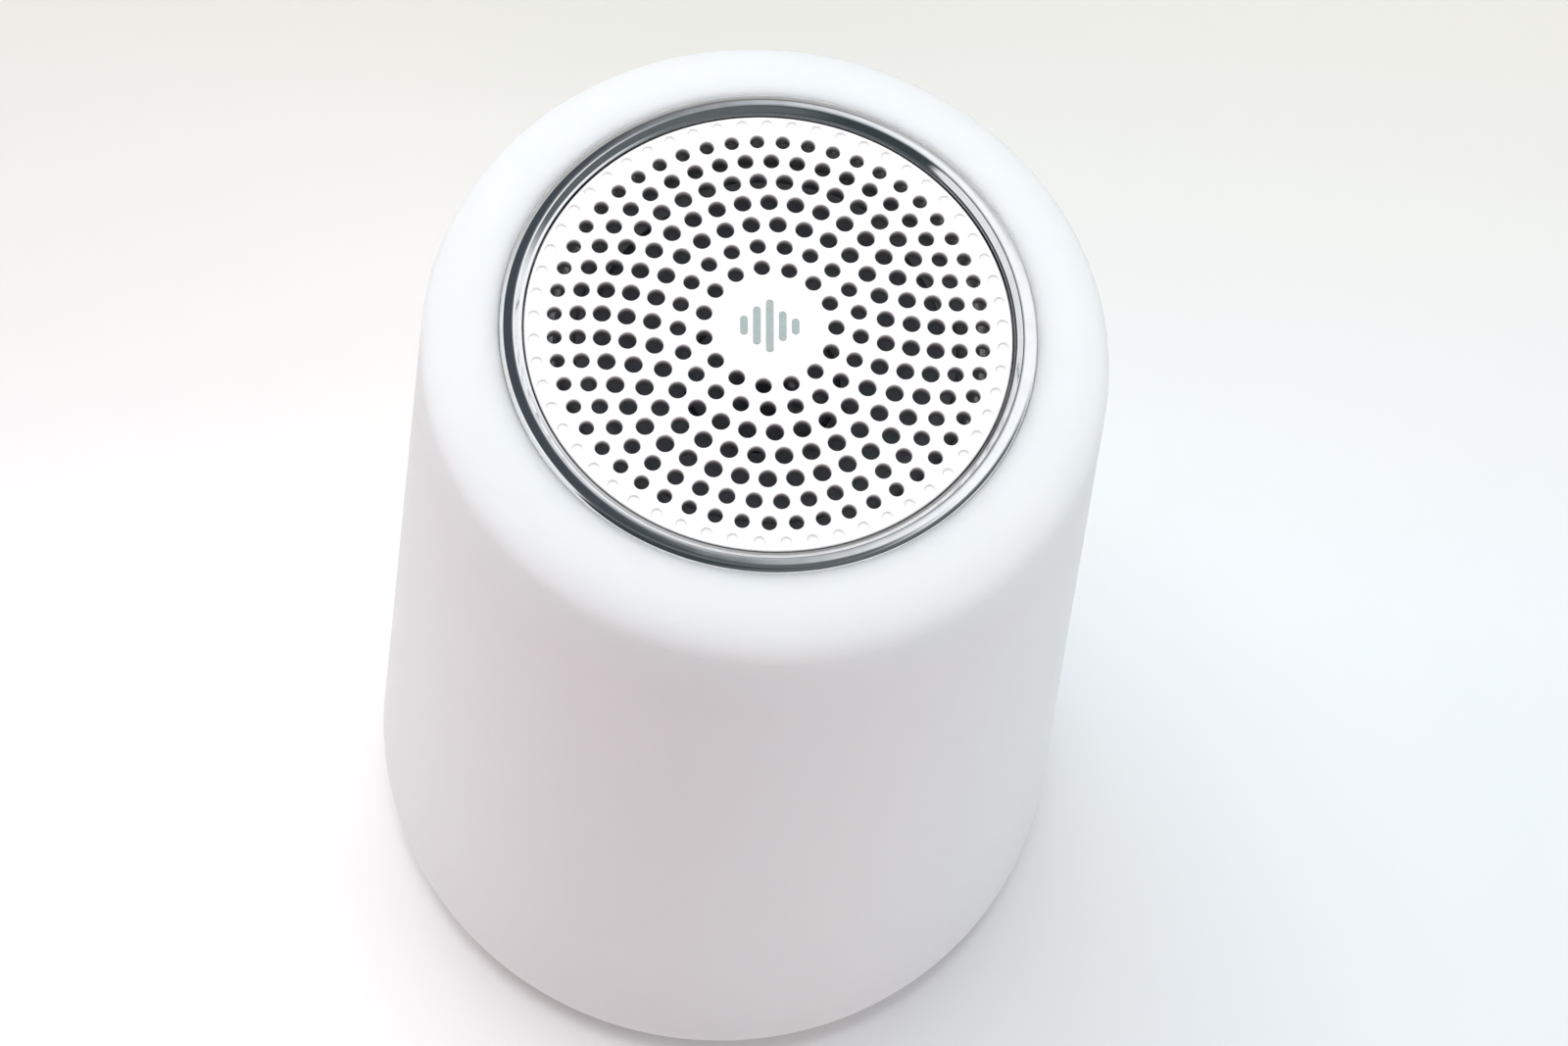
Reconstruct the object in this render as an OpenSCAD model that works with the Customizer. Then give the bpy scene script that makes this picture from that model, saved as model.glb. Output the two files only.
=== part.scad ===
// Table speaker with a frosted lamp shade. A full-range driver fires up through a
// perforated grille, and a board of LEDs lights the shade from inside.
// +Z is up, the origin is the centre of the face that it rests on, and the ports
// face +Y.

/* [Shade] */
// Height of the grille's top face above the table
grille_z = 147; // [146:0.5:150]
// Height of the plinth below the shade
plinth_h = 8; // [7.5:0.1:8.5]
// Outer radius of the shade at its bottom edge
shade_bottom_r = 56.3; // [56:0.1:58]
// Outer radius of the shade where the side meets the shoulder
shoulder_r = 42.2; // [42:0.1:44]
// Height of the rounded shoulder
shoulder_h = 5.2; // [5:0.1:6]
// Height of the shade's crown above the grille's top face
crown_rise = 0.5; // [0.3:0.1:0.6]
// Wall thickness of the shade
shade_wall = 2.6; // [2.4:0.1:2.8]

/* [Chrome ring] */
// Outer radius of the chrome ring
ring_r = 32.55; // [32.4:0.05:32.7]
// Radius of the opening in the chrome ring
ring_hole_r = 29.85; // [29.75:0.05:29.95]
// Radius where the ring's outer shoulder meets its flat top
ring_flat_r = 31.55; // [31.3:0.05:31.7]
// Radius where the flat top breaks into the slope down to the grille
ring_slope_r = 30.75; // [30.6:0.05:30.9]
// Height of the ring's flat top above the grille's top face
ring_rise = 0.8; // [0.6:0.1:1]

/* [Grille] */
// Outer radius of the grille
grille_r = 29.6; // [29.4:0.05:29.65]
// Thickness of the grille
grille_t = 1.6; // [1.4:0.1:1.6]
// Radii of the rings of open holes, from the middle out
hole_ring_r = [8.1, 11.1, 14.2, 17.3, 20.3, 23.2, 26];
// Diameters of the holes in each ring
hole_d = [2, 2, 2.2, 2.2, 2.2, 2, 1.8];
// Angle of each ring's first hole
hole_turn = [0.7, 11.8, 5.8, 2.9, 1.6, 1.4, 1.6];
// Number of holes in the innermost ring
first_ring_holes = 15; // [12:1:15]
// Holes that each further ring has more than the last
holes_per_step = 6; // [5:1:6]
// Radius of the outer ring of blind dimples
dimple_ring_r = 28.45; // [28.3:0.05:28.5]
// Diameter of a dimple
dimple_d = 1.4; // [1.2:0.1:1.4]
// Depth of a dimple
dimple_depth = 0.35; // [0.2:0.05:0.5]
// Angle of the first dimple
dimple_turn = 2.2; // [0:0.1:6]

/* [Badge] */
// Width and height of the printed mark
badge_size = 7.2; // [6:0.1:8]
// Heights of the mark's bars, as shares of its own height
badge_bars = [0.36, 0.72, 1, 0.56, 0.3];

/* [Driver] */
// Outer radius of the driver's flange
driver_r = 27.7; // [27.4:0.1:27.8]
// Radius of the cone's outer edge
cone_r = 22.6; // [22:0.1:22.8]
// Depth of the cone
cone_depth = 9.7; // [9.5:0.1:10]
// Outer radius of the voice coil
coil_r = 8.65; // [8.6:0.01:8.7]
// Radius of the ring magnet
magnet_r = 20.5; // [18:0.5:21]
// Thickness of the ring magnet
magnet_t = 7.9; // [6:0.1:8]

/* [Lamp] */
// Radius of the LED board
led_board_r = 42; // [40:0.5:42]
// LEDs on the outer circle
outer_leds = 12; // [6:1:16]
// LEDs on the inner circle
inner_leds = 6; // [4:1:8]
// Outer radius of the middle column
column_r = 11; // [10:0.5:12]

/* [Ports] */
// Half the width of the port panel
panel_half_w = 22.7; // [22.5:0.1:22.7]
// Distance of the port panel's face from the middle axis
panel_y = 50.4; // [50.3:0.1:50.5]
// Height of the port panel's top edge
panel_top = 25.8; // [25.5:0.1:25.9]
// Sideways places of the three keys
key_x = [-10, 0, 10];
// Height of the keys' centre
key_z = 21.7; // [21.5:0.1:21.9]
// Sideways place of the power switch
power_x = -18; // [-18.5:0.5:-17.5]
// Sideways place of the charging socket
usb_x = -8; // [-8.5:0.5:-7.5]
// Sideways place of the memory-card slot
card_x = 4; // [3.5:0.5:4.5]
// Sideways place of the audio socket
jack_x = 17; // [16.5:0.5:17]
// Radius of the audio socket's bore
jack_bore_r = 1.8; // [1.77:0.01:1.85]
// Depth of the audio socket's bore
jack_depth = 14; // [13:0.5:14]

/* [Battery] */
// Radius of the battery cell
cell_r = 9.2; // [9:0.1:9.2]
// Length of the battery cell
cell_len = 65; // [60:1:65]

/* [Hidden] */
$fn = 96;
eps = 0.01;
fit = 0.15;
far = 60;
arc_steps = 20;

crown_z = grille_z + crown_rise;
shoulder_z = crown_z - shoulder_h;
shoulder_w = shoulder_r - ring_r;
shade_hole_r = 30.9;
rebate_depth = 1;
seat_z = crown_z - rebate_depth;
ring_gap = 0.1;
sleeve_z = 144.85;
sleeve_wall = 0.85;
window_z = plinth_h + 2.3;
window_corner = 2.5;
flare = (shade_bottom_r - shoulder_r) / (shoulder_z - plinth_h);

plinth_inset = 1.5;
plinth_r = shade_bottom_r - plinth_inset;
plinth_wall = 2.4;
spigot_r = 52.9;
spigot_wall = 2.1;
spigot_top = 14;
foot_rise = 1.2;
foot_r = 44.5;
foot_w = 6;
foot_groove = 0.8;
cover_t = 2.2;
counterbore = 1.2;
cover_r = plinth_r - plinth_wall - fit;
boss_ring_r = 47.5;
boss_r = 3.2;
ear_t = 2;
boss_angles = [45, 135, 225, 315];
pilot_r = 1.1;
screw_r = 1.3;
head_r = 2;
head_h = 1.3;
standoff_ring_r = 36;
standoff_r = 2.8;
standoff_angles = [35, 145, 215, 325];

board_z = 11;
board_t = 1.6;
board_top = board_z + board_t;
board_r = 46.5;
board_back_y = 45.5;

core_r = 43;
core_wall = 2;
core_top = 38;
core_back_y = 40;
wire_hole_r = 8;
led_board_t = 1.2;
led_top = core_top + led_board_t;
led_size = 5;
led_t = 1.6;
outer_led_r = 34;
inner_led_r = 22;
led_screw_r = 28;
led_screw_angles = [0, 120, 240];

chamber_z = 108;
chamber_r = 29.7;
chamber_wall = 1.8;
chamber_floor = 2.4;
clamp_r = 36;
clamp_t = 2.4;
clamp_z = 141.9;
column_wall = 2;
column_flange_r = 17;
column_flange_t = 2;
column_screw_r = 14;
contact_r = 33;
contact_foot_z = 140.6;

flange_t = 1;
flange_z = grille_z - 7;
flange_top = flange_z + flange_t;
ledge_t = 2.4;
surround_t = 0.4;
roll_out_r = 25.9;
neck_z = flange_top - cone_depth - 0.1;
paper_t = 0.5;
coil_t = 0.6;
plate_t = 2.5;
plate_r = 19;
frame_floor_z = 126.4;
frame_floor_t = 1;
gap_r = 9.05;
pole_r = 7.6;
magnet_hole_r = 11;
magnet_top = frame_floor_z - plate_t;
magnet_z = magnet_top - magnet_t;
spider_z = 129.2;
spider_r = 19.6;
gasket_t = 1.4;

panel_t = 2;
panel_gap = 0.3;
lip_t = 1.5;
key_w = 7;
key_h = 3.6;
key_proud = 0.9;
key_travel = 0.5;
key_gap = 0.2;
key_flange = 0.7;
key_flange_t = 0.8;
key_board_y = 43;
key_board_t = 1.2;
key_board_w = 36;
key_board_x = 1;
can_t = 1.4;
plunger_t = 0.5;
key_board_z = 18.7;
key_board_h = 5.8;
switch_travel = 2;
knob_w = 2.6;
knob_h = 2;
knob_stem_w = 1.4;
power_z = board_top + 2;
usb_w = 7.6;
usb_h = 2.7;
usb_z = board_top + usb_h / 2;
card_w = 12;
card_h = 1.9;
card_len = 14.5;
card_z = board_top + card_h / 2;
jack_z = board_top + 3;
nose_r = 2.9;
jack_body = 5.8;
led_pipe_r = 1;
led_pipe_x = -18;

cradle_t = 1.2;
cell_z = board_top + cradle_t + cell_r;
lead_r = 0.6;
lead_x = 1.6;

// ---- shared shapes ----

// Points of an elliptic arc about a centre, from angle a0 to angle a1.
function arc(cx, cy, rx, ry, a0, a1, steps) =
    [for (i = [0:steps]) let (a = a0 + (a1 - a0) * i / steps)
        [cx + rx * cos(a), cy + ry * sin(a)]];

// Radius of the shade's outer side at a height.
function side_r(z) = shoulder_r + (shoulder_z - z) * flare;

module tube(r_out, r_in, z0, z1) {
    translate([0, 0, z0])
        linear_extrude(z1 - z0)
            difference() {
                circle(r_out);
                circle(r_in);
            }
}

module disc(r, z0, z1) {
    translate([0, 0, z0]) cylinder(r = r, h = z1 - z0);
}

module box(x0, x1, y0, y1, z0, z1) {
    translate([x0, y0, z0]) cube([x1 - x0, y1 - y0, z1 - z0]);
}

// Everything between two depths.
module slab_y(y0, y1) {
    box(-far, far, y0, y1, -far, far);
}

// Copies at each angle on a circle.
module around(r, angles) {
    for (a = angles) rotate([0, 0, a]) translate([r, 0, 0]) children();
}

// A rectangle with round corners, centred on the origin.
module round_rect(w, h, r) {
    square([w - 2 * r, h], center = true);
    square([w, h - 2 * r], center = true);
    for (x = [-1, 1], y = [-1, 1])
        translate([x * (w / 2 - r), y * (h / 2 - r)]) circle(r, $fn = 32);
}

// Stands a flat outline up so that it faces +Y, from depth y0 to y1.
module facing_back(x, z, y0, y1) {
    translate([x, y1, z]) rotate([90, 0, 0]) linear_extrude(y1 - y0) children();
}

// Screw with a pan head that points up: shank below z = 0, head above.
module screw(len, head_r = head_r, head_h = head_h) {
    slot_w = 0.5;
    slot_len = head_r * 1.2;
    translate([0, 0, -len]) cylinder(r = pilot_r, h = len, $fn = 32);
    difference() {
        cylinder(r = head_r, h = head_h, $fn = 32);
        for (a = [0, 90])
            rotate([0, 0, a])
                translate([-slot_len / 2, -slot_w / 2, head_h * 0.45])
                    cube([slot_len, slot_w, head_h]);
    }
}

// Round wire along straight runs, with a ball at each bend.
module wire(points, r) {
    for (i = [0:len(points) - 2]) {
        run = points[i + 1] - points[i];
        len_run = norm(run);
        translate(points[i])
            rotate([0, acos(run[2] / len_run), atan2(run[1], run[0])])
                cylinder(r = r, h = len_run, $fn = 16);
    }
    for (i = [1:len(points) - 2])
        translate(points[i]) sphere(r = r, $fn = 16);
}

// ---- shade and top trim ----

// Half outline of the shade, filled to the axis and set in from the outer skin.
module shade_outline(inset, bottom_z) {
    shoulder = arc(ring_r, shoulder_z, shoulder_w - inset, shoulder_h - inset, 90, 0, arc_steps);
    polygon(concat([[0, bottom_z], [0, crown_z - inset]], shoulder,
                   [[shade_bottom_r - inset, plinth_h], [shade_bottom_r - inset, bottom_z]]));
}

module shade() {
    window_w = 2 * (panel_half_w + panel_gap);
    window_h = panel_top + panel_gap - window_z;
    color("white")
        difference() {
            rotate_extrude($fn = 180)
                difference() {
                    shade_outline(0, plinth_h);
                    shade_outline(shade_wall, plinth_h - 1);
                    translate([0, seat_z]) square([ring_r + ring_gap, far]);
                    translate([0, plinth_h]) square([shade_hole_r, grille_z]);
                }
            facing_back(0, window_z + window_h / 2, board_r / 2, far)
                round_rect(window_w, window_h, window_corner);
        }
}

// Chrome ring: a round shoulder outside, a narrow flat top and a slope down to the grille.
module trim_ring() {
    shoulder_up = 0.2;
    lip = 0.35;
    lip_up = 0.15;
    color("silver")
        rotate_extrude($fn = 180)
            polygon(concat(
                [[ring_hole_r, sleeve_z], [ring_hole_r + sleeve_wall, sleeve_z],
                 [ring_hole_r + sleeve_wall, seat_z], [ring_r, seat_z]],
                arc(ring_flat_r, grille_z + shoulder_up, ring_r - ring_flat_r,
                    ring_rise - shoulder_up, 0, 90, 10),
                [[ring_slope_r, grille_z + ring_rise],
                 [ring_hole_r + lip, grille_z + lip_up],
                 [ring_hole_r, grille_z + lip_up / 2]]));
}

// Outlines of the holes in one ring. Each ring has holes_per_step more than the last.
module hole_ring(i) {
    count = first_ring_holes + i * holes_per_step;
    for (k = [0:count - 1])
        rotate(hole_turn[i] + k * 360 / count)
            translate([hole_ring_r[i], 0]) circle(d = hole_d[i], $fn = 24);
}

module grille() {
    rings = len(hole_ring_r);
    dimples = first_ring_holes + rings * holes_per_step;
    skirt_r = chamber_r - chamber_wall - fit;
    skirt_w = 0.9;
    skirt_z = flange_top + gasket_t;
    color("white") {
        translate([0, 0, grille_z - grille_t])
            linear_extrude(grille_t - dimple_depth)
                difference() {
                    circle(grille_r);
                    for (i = [0:rings - 1]) hole_ring(i);
                }
        translate([0, 0, grille_z - dimple_depth])
            linear_extrude(dimple_depth)
                difference() {
                    circle(grille_r);
                    for (i = [0:rings - 1]) hole_ring(i);
                    for (k = [0:dimples - 1])
                        rotate(dimple_turn + k * 360 / dimples)
                            translate([dimple_ring_r, 0]) circle(d = dimple_d, $fn = 24);
                }
        tube(skirt_r, skirt_r - skirt_w, skirt_z, grille_z - grille_t);
    }
}

// Generic sound-level mark: upright bars with round ends.
module badge() {
    bars = len(badge_bars);
    pitch = badge_size / (bars - 0.4);
    bar_w = pitch * 0.6;
    print_t = 0.1;
    color("silver")
        translate([0, 0, grille_z])
            linear_extrude(print_t)
                for (i = [0:bars - 1])
                    translate([(i - (bars - 1) / 2) * pitch, 0])
                        round_rect(bar_w, badge_size * badge_bars[i], bar_w / 2 - eps);
}

// Silicone ring between the shade's crown and the chamber's clamp flange.
module ring_seal() {
    seal_t = 0.35;
    seal_w = 2;
    color("lightgray")
        tube(clamp_r - 0.5, clamp_r - 0.5 - seal_w, clamp_z + clamp_t, clamp_z + clamp_t + seal_t);
}

// ---- driver and its chamber ----

// Cup that closes the driver's back. Its flange clamps the shade's crown.
module chamber() {
    inner_r = chamber_r - chamber_wall;
    ledge_in = 25.6;
    lead_hole_r = 4;
    slot_w = 4.4;
    slot_d = 0.8;
    pilot_depth = 4;
    color("white")
        difference() {
            union() {
                tube(chamber_r, inner_r, chamber_z, grille_z - grille_t - 0.1);
                tube(chamber_r, lead_hole_r, chamber_z, chamber_z + chamber_floor);
                tube(inner_r + eps, ledge_in, flange_z - ledge_t, flange_z);
                tube(clamp_r, inner_r + 1, clamp_z, clamp_z + clamp_t);
            }
            around(column_screw_r, boss_angles)
                translate([0, 0, chamber_z - 1]) cylinder(r = pilot_r, h = 1 + pilot_depth, $fn = 32);
            box(-slot_w / 2, slot_w / 2, -contact_r - slot_d, -contact_r + slot_d,
                clamp_z - 1, clamp_z + clamp_t + 1);
        }
}

module speaker_gasket() {
    color("dimgray") tube(27.6, 26.2, flange_top + surround_t + 0.05, flange_top + gasket_t);
}

// Pressed steel frame: flange, open cone with four windows, ledge and floor.
module speaker_frame() {
    t = 0.8;
    rim_r = 25.2;
    floor_in = gap_r + 4;
    floor_top = frame_floor_z + frame_floor_t;
    ledge_in = spider_r - 1.4;
    window_w = 16;
    color("dimgray")
        difference() {
            rotate_extrude($fn = 120)
                polygon([[floor_in, frame_floor_z], [plate_r + 1, frame_floor_z],
                         [spider_r + 1.2, spider_z - 1],
                         [rim_r, flange_z - 1], [rim_r, flange_z],
                         [driver_r, flange_z], [driver_r, flange_top],
                         [rim_r - 0.6, flange_top], [rim_r - t, flange_z - 1],
                         [spider_r + 0.3, spider_z], [ledge_in, spider_z],
                         [ledge_in, spider_z - t], [spider_r - 0.4, spider_z - t],
                         [plate_r + 0.2, floor_top], [floor_in, floor_top]]);
            for (a = boss_angles)
                rotate([0, 0, a])
                    box(plate_r - 4, driver_r + 2, -window_w / 2, window_w / 2,
                        spider_z + 2 * t, flange_z - 2.2);
        }
}

// Rubber half roll that carries the cone's edge.
module surround() {
    roll_in_r = cone_r + 0.9;
    inner_r = cone_r - 0.6;
    outer_r = driver_r - 0.3;
    mid = (roll_in_r + roll_out_r) / 2;
    roll = (roll_out_r - roll_in_r) / 2;
    color("black")
        rotate_extrude($fn = 120) {
            translate([inner_r, flange_top]) square([roll_in_r - inner_r + eps, surround_t]);
            translate([roll_out_r - eps, flange_top]) square([outer_r - roll_out_r, surround_t]);
            polygon(concat(arc(mid, flange_top, roll, roll, 0, 180, 14),
                           arc(mid, flange_top, roll - surround_t, roll - surround_t, 180, 0, 14)));
        }
}

// Paper cone with a gentle curve from its neck to its edge.
module speaker_cone() {
    rise = flange_top - 0.1 - neck_z;
    steps = 12;
    bow = 0.8;
    function across(s) = coil_r + (cone_r - coil_r) * s;
    function up(s) = neck_z + rise * s - bow * sin(180 * s);
    color("black")
        rotate_extrude($fn = 120)
            polygon(concat([for (i = [0:steps]) [across(i / steps), up(i / steps)]],
                           [for (i = [steps:-1:0]) [across(i / steps), up(i / steps) - paper_t]]));
}

module dust_cap() {
    cap_r = coil_r + 0.9;
    cap_h = 2.8;
    t = 0.4;
    base_z = neck_z + 0.45;
    color("black")
        rotate_extrude($fn = 96)
            polygon(concat(arc(0, base_z, cap_r, cap_h, 0, 90, 12),
                           arc(0, base_z, cap_r - t, cap_h - t, 90, 0, 12)));
}

module voice_coil() {
    coil_len = 10.5;
    color("goldenrod") tube(coil_r, coil_r - coil_t, neck_z - coil_len, neck_z - 0.2);
}

// Corrugated cloth disc that centres the voice coil.
module spider() {
    t = 0.35;
    steps = 30;
    waves = 3;
    swing = 0.5;
    inner = coil_r + 0.1;
    function across(s) = inner + (spider_r - inner) * s;
    function up(s) = spider_z + t / 2 + swing * (1 - cos(360 * waves * s)) / 2;
    color("tan")
        rotate_extrude($fn = 96)
            polygon(concat([for (i = [0:steps]) [across(i / steps), up(i / steps) + t / 2]],
                           [for (i = [steps:-1:0]) [across(i / steps), up(i / steps) - t / 2]]));
}

module magnet() {
    color("darkslategray") tube(magnet_r, magnet_hole_r, magnet_z, magnet_top);
}

module front_plate() {
    color("gray") tube(plate_r, gap_r, magnet_top, frame_floor_z);
}

module yoke() {
    color("gray") {
        disc(plate_r + 0.5, magnet_z - plate_t, magnet_z);
        disc(pole_r, magnet_z - eps, frame_floor_z);
    }
}

// Spring brass strip that connects the chrome ring to the touch lead.
module touch_contact() {
    strip_t = 0.35;
    strip_z = sleeve_z - strip_t - 0.05;
    half_w = 1.5;
    leg_y = -contact_r - 0.2;
    color("gold") {
        box(-half_w, half_w, leg_y, -ring_hole_r - ring_gap, strip_z, strip_z + strip_t);
        box(-half_w, half_w, leg_y, leg_y + strip_t, contact_foot_z, strip_z + eps);
    }
}

// Lead from the touch contact, down outside the chamber and beside the column.
module touch_lead() {
    by_column = -18.5;
    color("white")
        wire([[0, -contact_r, contact_foot_z - 0.1], [0, -contact_r, chamber_z - 3],
              [0, by_column, chamber_z - 10], [0, by_column, led_top + 0.05]], 0.5);
}

module speaker_leads() {
    colors = ["red", "black"];
    turn_z = cell_z + cell_r + 1.7;
    under_z = chamber_z + chamber_floor + 1.3;
    tag_r = 24.4;
    for (i = [0, 1]) {
        x = (i * 2 - 1) * lead_x;
        color(colors[i])
            wire([[x, 16, board_top], [x, 16, turn_z], [x, 0, turn_z], [x, 0, under_z],
                  [x, tag_r, under_z], [x, tag_r, 134]], lead_r);
    }
}

// ---- lamp ----

module column() {
    color("white")
        difference() {
            union() {
                tube(column_r, column_r - column_wall, led_top, chamber_z);
                tube(column_flange_r, column_r - column_wall, led_top, led_top + column_flange_t);
                tube(column_flange_r, column_r - column_wall, chamber_z - column_flange_t, chamber_z);
            }
            around(column_screw_r, boss_angles) {
                translate([0, 0, led_top - 1]) cylinder(r = screw_r, h = 4, $fn = 32);
                translate([0, 0, chamber_z - 3]) cylinder(r = screw_r, h = 4, $fn = 32);
            }
        }
}

module column_screws() {
    color("silver")
        around(column_screw_r, boss_angles)
            translate([0, 0, led_top + column_flange_t]) screw(5);
}

module chamber_screws() {
    color("silver")
        around(column_screw_r, boss_angles)
            translate([0, 0, chamber_z - column_flange_t]) rotate([180, 0, 0]) screw(4);
}

module led_board() {
    color("white")
        difference() {
            tube(led_board_r, wire_hole_r, core_top, led_top);
            around(column_screw_r, boss_angles)
                translate([0, 0, core_top - 1]) cylinder(r = screw_r, h = 4, $fn = 32);
            around(led_screw_r, led_screw_angles)
                translate([0, 0, core_top - 1]) cylinder(r = screw_r, h = 4, $fn = 32);
            slab_y(core_back_y, far);
        }
}

// One LED package: a white body with a clear dished window.
module led() {
    window_r = 2;
    difference() {
        translate([-led_size / 2, -led_size / 2, 0]) cube([led_size, led_size, led_t]);
        translate([0, 0, led_t - 0.4]) cylinder(r = window_r, h = 1, $fn = 32);
    }
}

module leds() {
    color("lightyellow") translate([0, 0, led_top]) {
        around(outer_led_r, [for (i = [0:outer_leds - 1]) (i + 0.5) * 360 / outer_leds]) led();
        around(inner_led_r, [for (i = [0:inner_leds - 1]) (i + 0.5) * 360 / inner_leds]) led();
    }
}

module led_board_screws() {
    color("silver")
        around(led_screw_r, led_screw_angles) translate([0, 0, led_top]) screw(3);
}

// White cover over the base's electronics, which carries the LED board.
module core_cover() {
    port_space_w = 52;
    port_space_top = 25.2;
    color("white")
        difference() {
            union() {
                intersection() {
                    tube(core_r, core_r - core_wall, spigot_top, core_top);
                    slab_y(-far, core_back_y);
                }
                intersection() {
                    disc(core_r, core_top - core_wall, core_top);
                    slab_y(-far, core_back_y);
                }
                intersection() {
                    disc(core_r - eps, spigot_top, core_top);
                    slab_y(core_back_y - core_wall, core_back_y);
                }
                around(core_r + 1, boss_angles)
                    box(-2, boss_ring_r - core_r + 1.7, -boss_r, boss_r, spigot_top, spigot_top + ear_t);
            }
            around(boss_ring_r, boss_angles)
                translate([0, 0, spigot_top - 1]) cylinder(r = screw_r, h = 4, $fn = 32);
            disc(wire_hole_r, core_top - 3, core_top + 1);
            around(column_screw_r, boss_angles) disc(pilot_r, core_top - 3, core_top + 1);
            around(led_screw_r, led_screw_angles) disc(pilot_r, core_top - 3, core_top + 1);
            box(-port_space_w / 2, port_space_w / 2, core_back_y - core_wall - 6, far,
                spigot_top - 1, port_space_top);
        }
}

module core_screws() {
    color("silver")
        around(boss_ring_r, boss_angles) translate([0, 0, spigot_top + ear_t]) screw(6, head_r = 1.9);
}

// ---- base electronics ----

module battery_cradle() {
    end_x = cell_len / 2 + 1;
    end_t = 1.6;
    side_y = cell_r + 0.2;
    side_t = 1.2;
    side_len = 48;
    side_h = 7;
    floor_z = board_top + cradle_t;
    half_d = side_y + side_t;
    color("black") {
        box(-end_x - end_t, end_x + end_t, -half_d, half_d, board_top, floor_z);
        for (turn = [0, 180])
            rotate([0, 0, turn]) {
                box(end_x, end_x + end_t, -half_d, half_d, floor_z - eps, cell_z + 2);
                box(-side_len / 2, side_len / 2, side_y, half_d, floor_z - eps, floor_z + side_h);
            }
    }
}

module battery_cell() {
    terminal_r = 3;
    terminal_h = 0.6;
    body = cell_len - terminal_h;
    color("steelblue")
        translate([-cell_len / 2, 0, cell_z])
            rotate([0, 90, 0]) {
                cylinder(r = cell_r, h = body);
                translate([0, 0, body - eps]) cylinder(r = terminal_r, h = terminal_h + eps);
            }
}

module battery_tabs() {
    tab_t = 0.3;
    tab_w = 6;
    tab_h = 8;
    color("silver")
        for (s = [-1, 1])
            translate([s * (cell_len / 2 + 0.2), 0, cell_z]) cube([tab_t, tab_w, tab_h], center = true);
}

module main_board() {
    notch_r = boss_r + 0.4;
    color("darkgreen")
        difference() {
            disc(board_r, board_z, board_top);
            slab_y(board_back_y, far);
            around(boss_ring_r, boss_angles) disc(notch_r, board_z - 1, board_top + 1);
            around(standoff_ring_r, standoff_angles) disc(screw_r, board_z - 1, board_top + 1);
        }
}

// One flat-bodied component on the board, from its place and its size.
module chip(at, size) {
    translate([at[0] - size[0] / 2, at[1] - size[1] / 2, board_top]) cube(size);
}

// The radio, amplifier, converter and power parts, two capacitors and a row of resistors.
module board_parts() {
    cap_r = 3;
    cap_h = 8;
    color("dimgray") {
        chip([-12, -26], [13, 17, 2]);
        chip([8, -24], [7, 7, 1]);
        chip([20, -22], [6, 5, 1.5]);
        chip([-22.5, -20], [3, 3, 1]);
        chip([5, -36], [4, 4, 2]);
        chip([14, -34], [4, 4, 2]);
        chip([-6, 24], [9, 6, 1.2]);
        chip([24, 24], [5, 5, 1.6]);
        for (at = [[22, -29], [-24, -28]])
            translate([at[0], at[1], board_top]) cylinder(r = cap_r, h = cap_h, $fn = 32);
        for (x = [-20:6:10]) chip([x, -15], [2, 1.2, 0.8]);
    }
}

module board_screws() {
    color("silver")
        around(standoff_ring_r, standoff_angles) translate([0, 0, board_top]) screw(6);
}

module audio_jack() {
    body_back = panel_y - jack_depth - 1;
    body_front = panel_y - panel_t - 0.1;
    color("black")
        difference() {
            union() {
                box(jack_x - jack_body / 2, jack_x + jack_body / 2, body_back, body_front,
                    board_top, board_top + jack_body);
                translate([jack_x, body_front - eps, jack_z])
                    rotate([-90, 0, 0]) cylinder(r = nose_r, h = panel_y - body_front, $fn = 48);
            }
            translate([jack_x, panel_y - jack_depth, jack_z])
                rotate([-90, 0, 0]) cylinder(r = jack_bore_r, h = jack_depth + 1, $fn = 48);
        }
}

// Steel shell of the charging socket with its contact tongue.
module usb_socket() {
    t = 0.35;
    depth = 5.6;
    back_y = panel_y - 0.2 - depth;
    color("silver") {
        difference() {
            facing_back(usb_x, usb_z, back_y, panel_y - 0.2) round_rect(usb_w, usb_h, 0.8);
            facing_back(usb_x, usb_z, back_y + 1, panel_y + 1)
                round_rect(usb_w - 2 * t, usb_h - 2 * t, 0.5);
        }
        facing_back(usb_x, usb_z + 0.25, back_y + 1 - eps, panel_y - 1.4) square([4.2, 0.6], center = true);
    }
}

module card_slot() {
    t = 0.3;
    front_y = panel_y - 0.3;
    color("silver")
        difference() {
            box(card_x - card_w / 2, card_x + card_w / 2, front_y - card_len, front_y,
                board_top, board_top + card_h);
            box(card_x - card_w / 2 + t, card_x + card_w / 2 - t, front_y - card_len + 1,
                front_y + 1, board_top + t, board_top + card_h - t);
        }
}

module power_switch() {
    front_y = panel_y - panel_t - 0.2;
    can_w = 8.4;
    can_h = 4;
    slot_w = knob_stem_w + switch_travel + 0.4;
    slot_h = 1.2;
    slot_depth = 1.6;
    color("gray")
        difference() {
            box(power_x - can_w / 2, power_x + can_w / 2, front_y - can_h, front_y,
                board_top, board_top + can_h);
            box(power_x - slot_w / 2, power_x + slot_w / 2, front_y - slot_depth, front_y + 1,
                power_z - slot_h / 2, power_z + slot_h / 2);
        }
}

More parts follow.
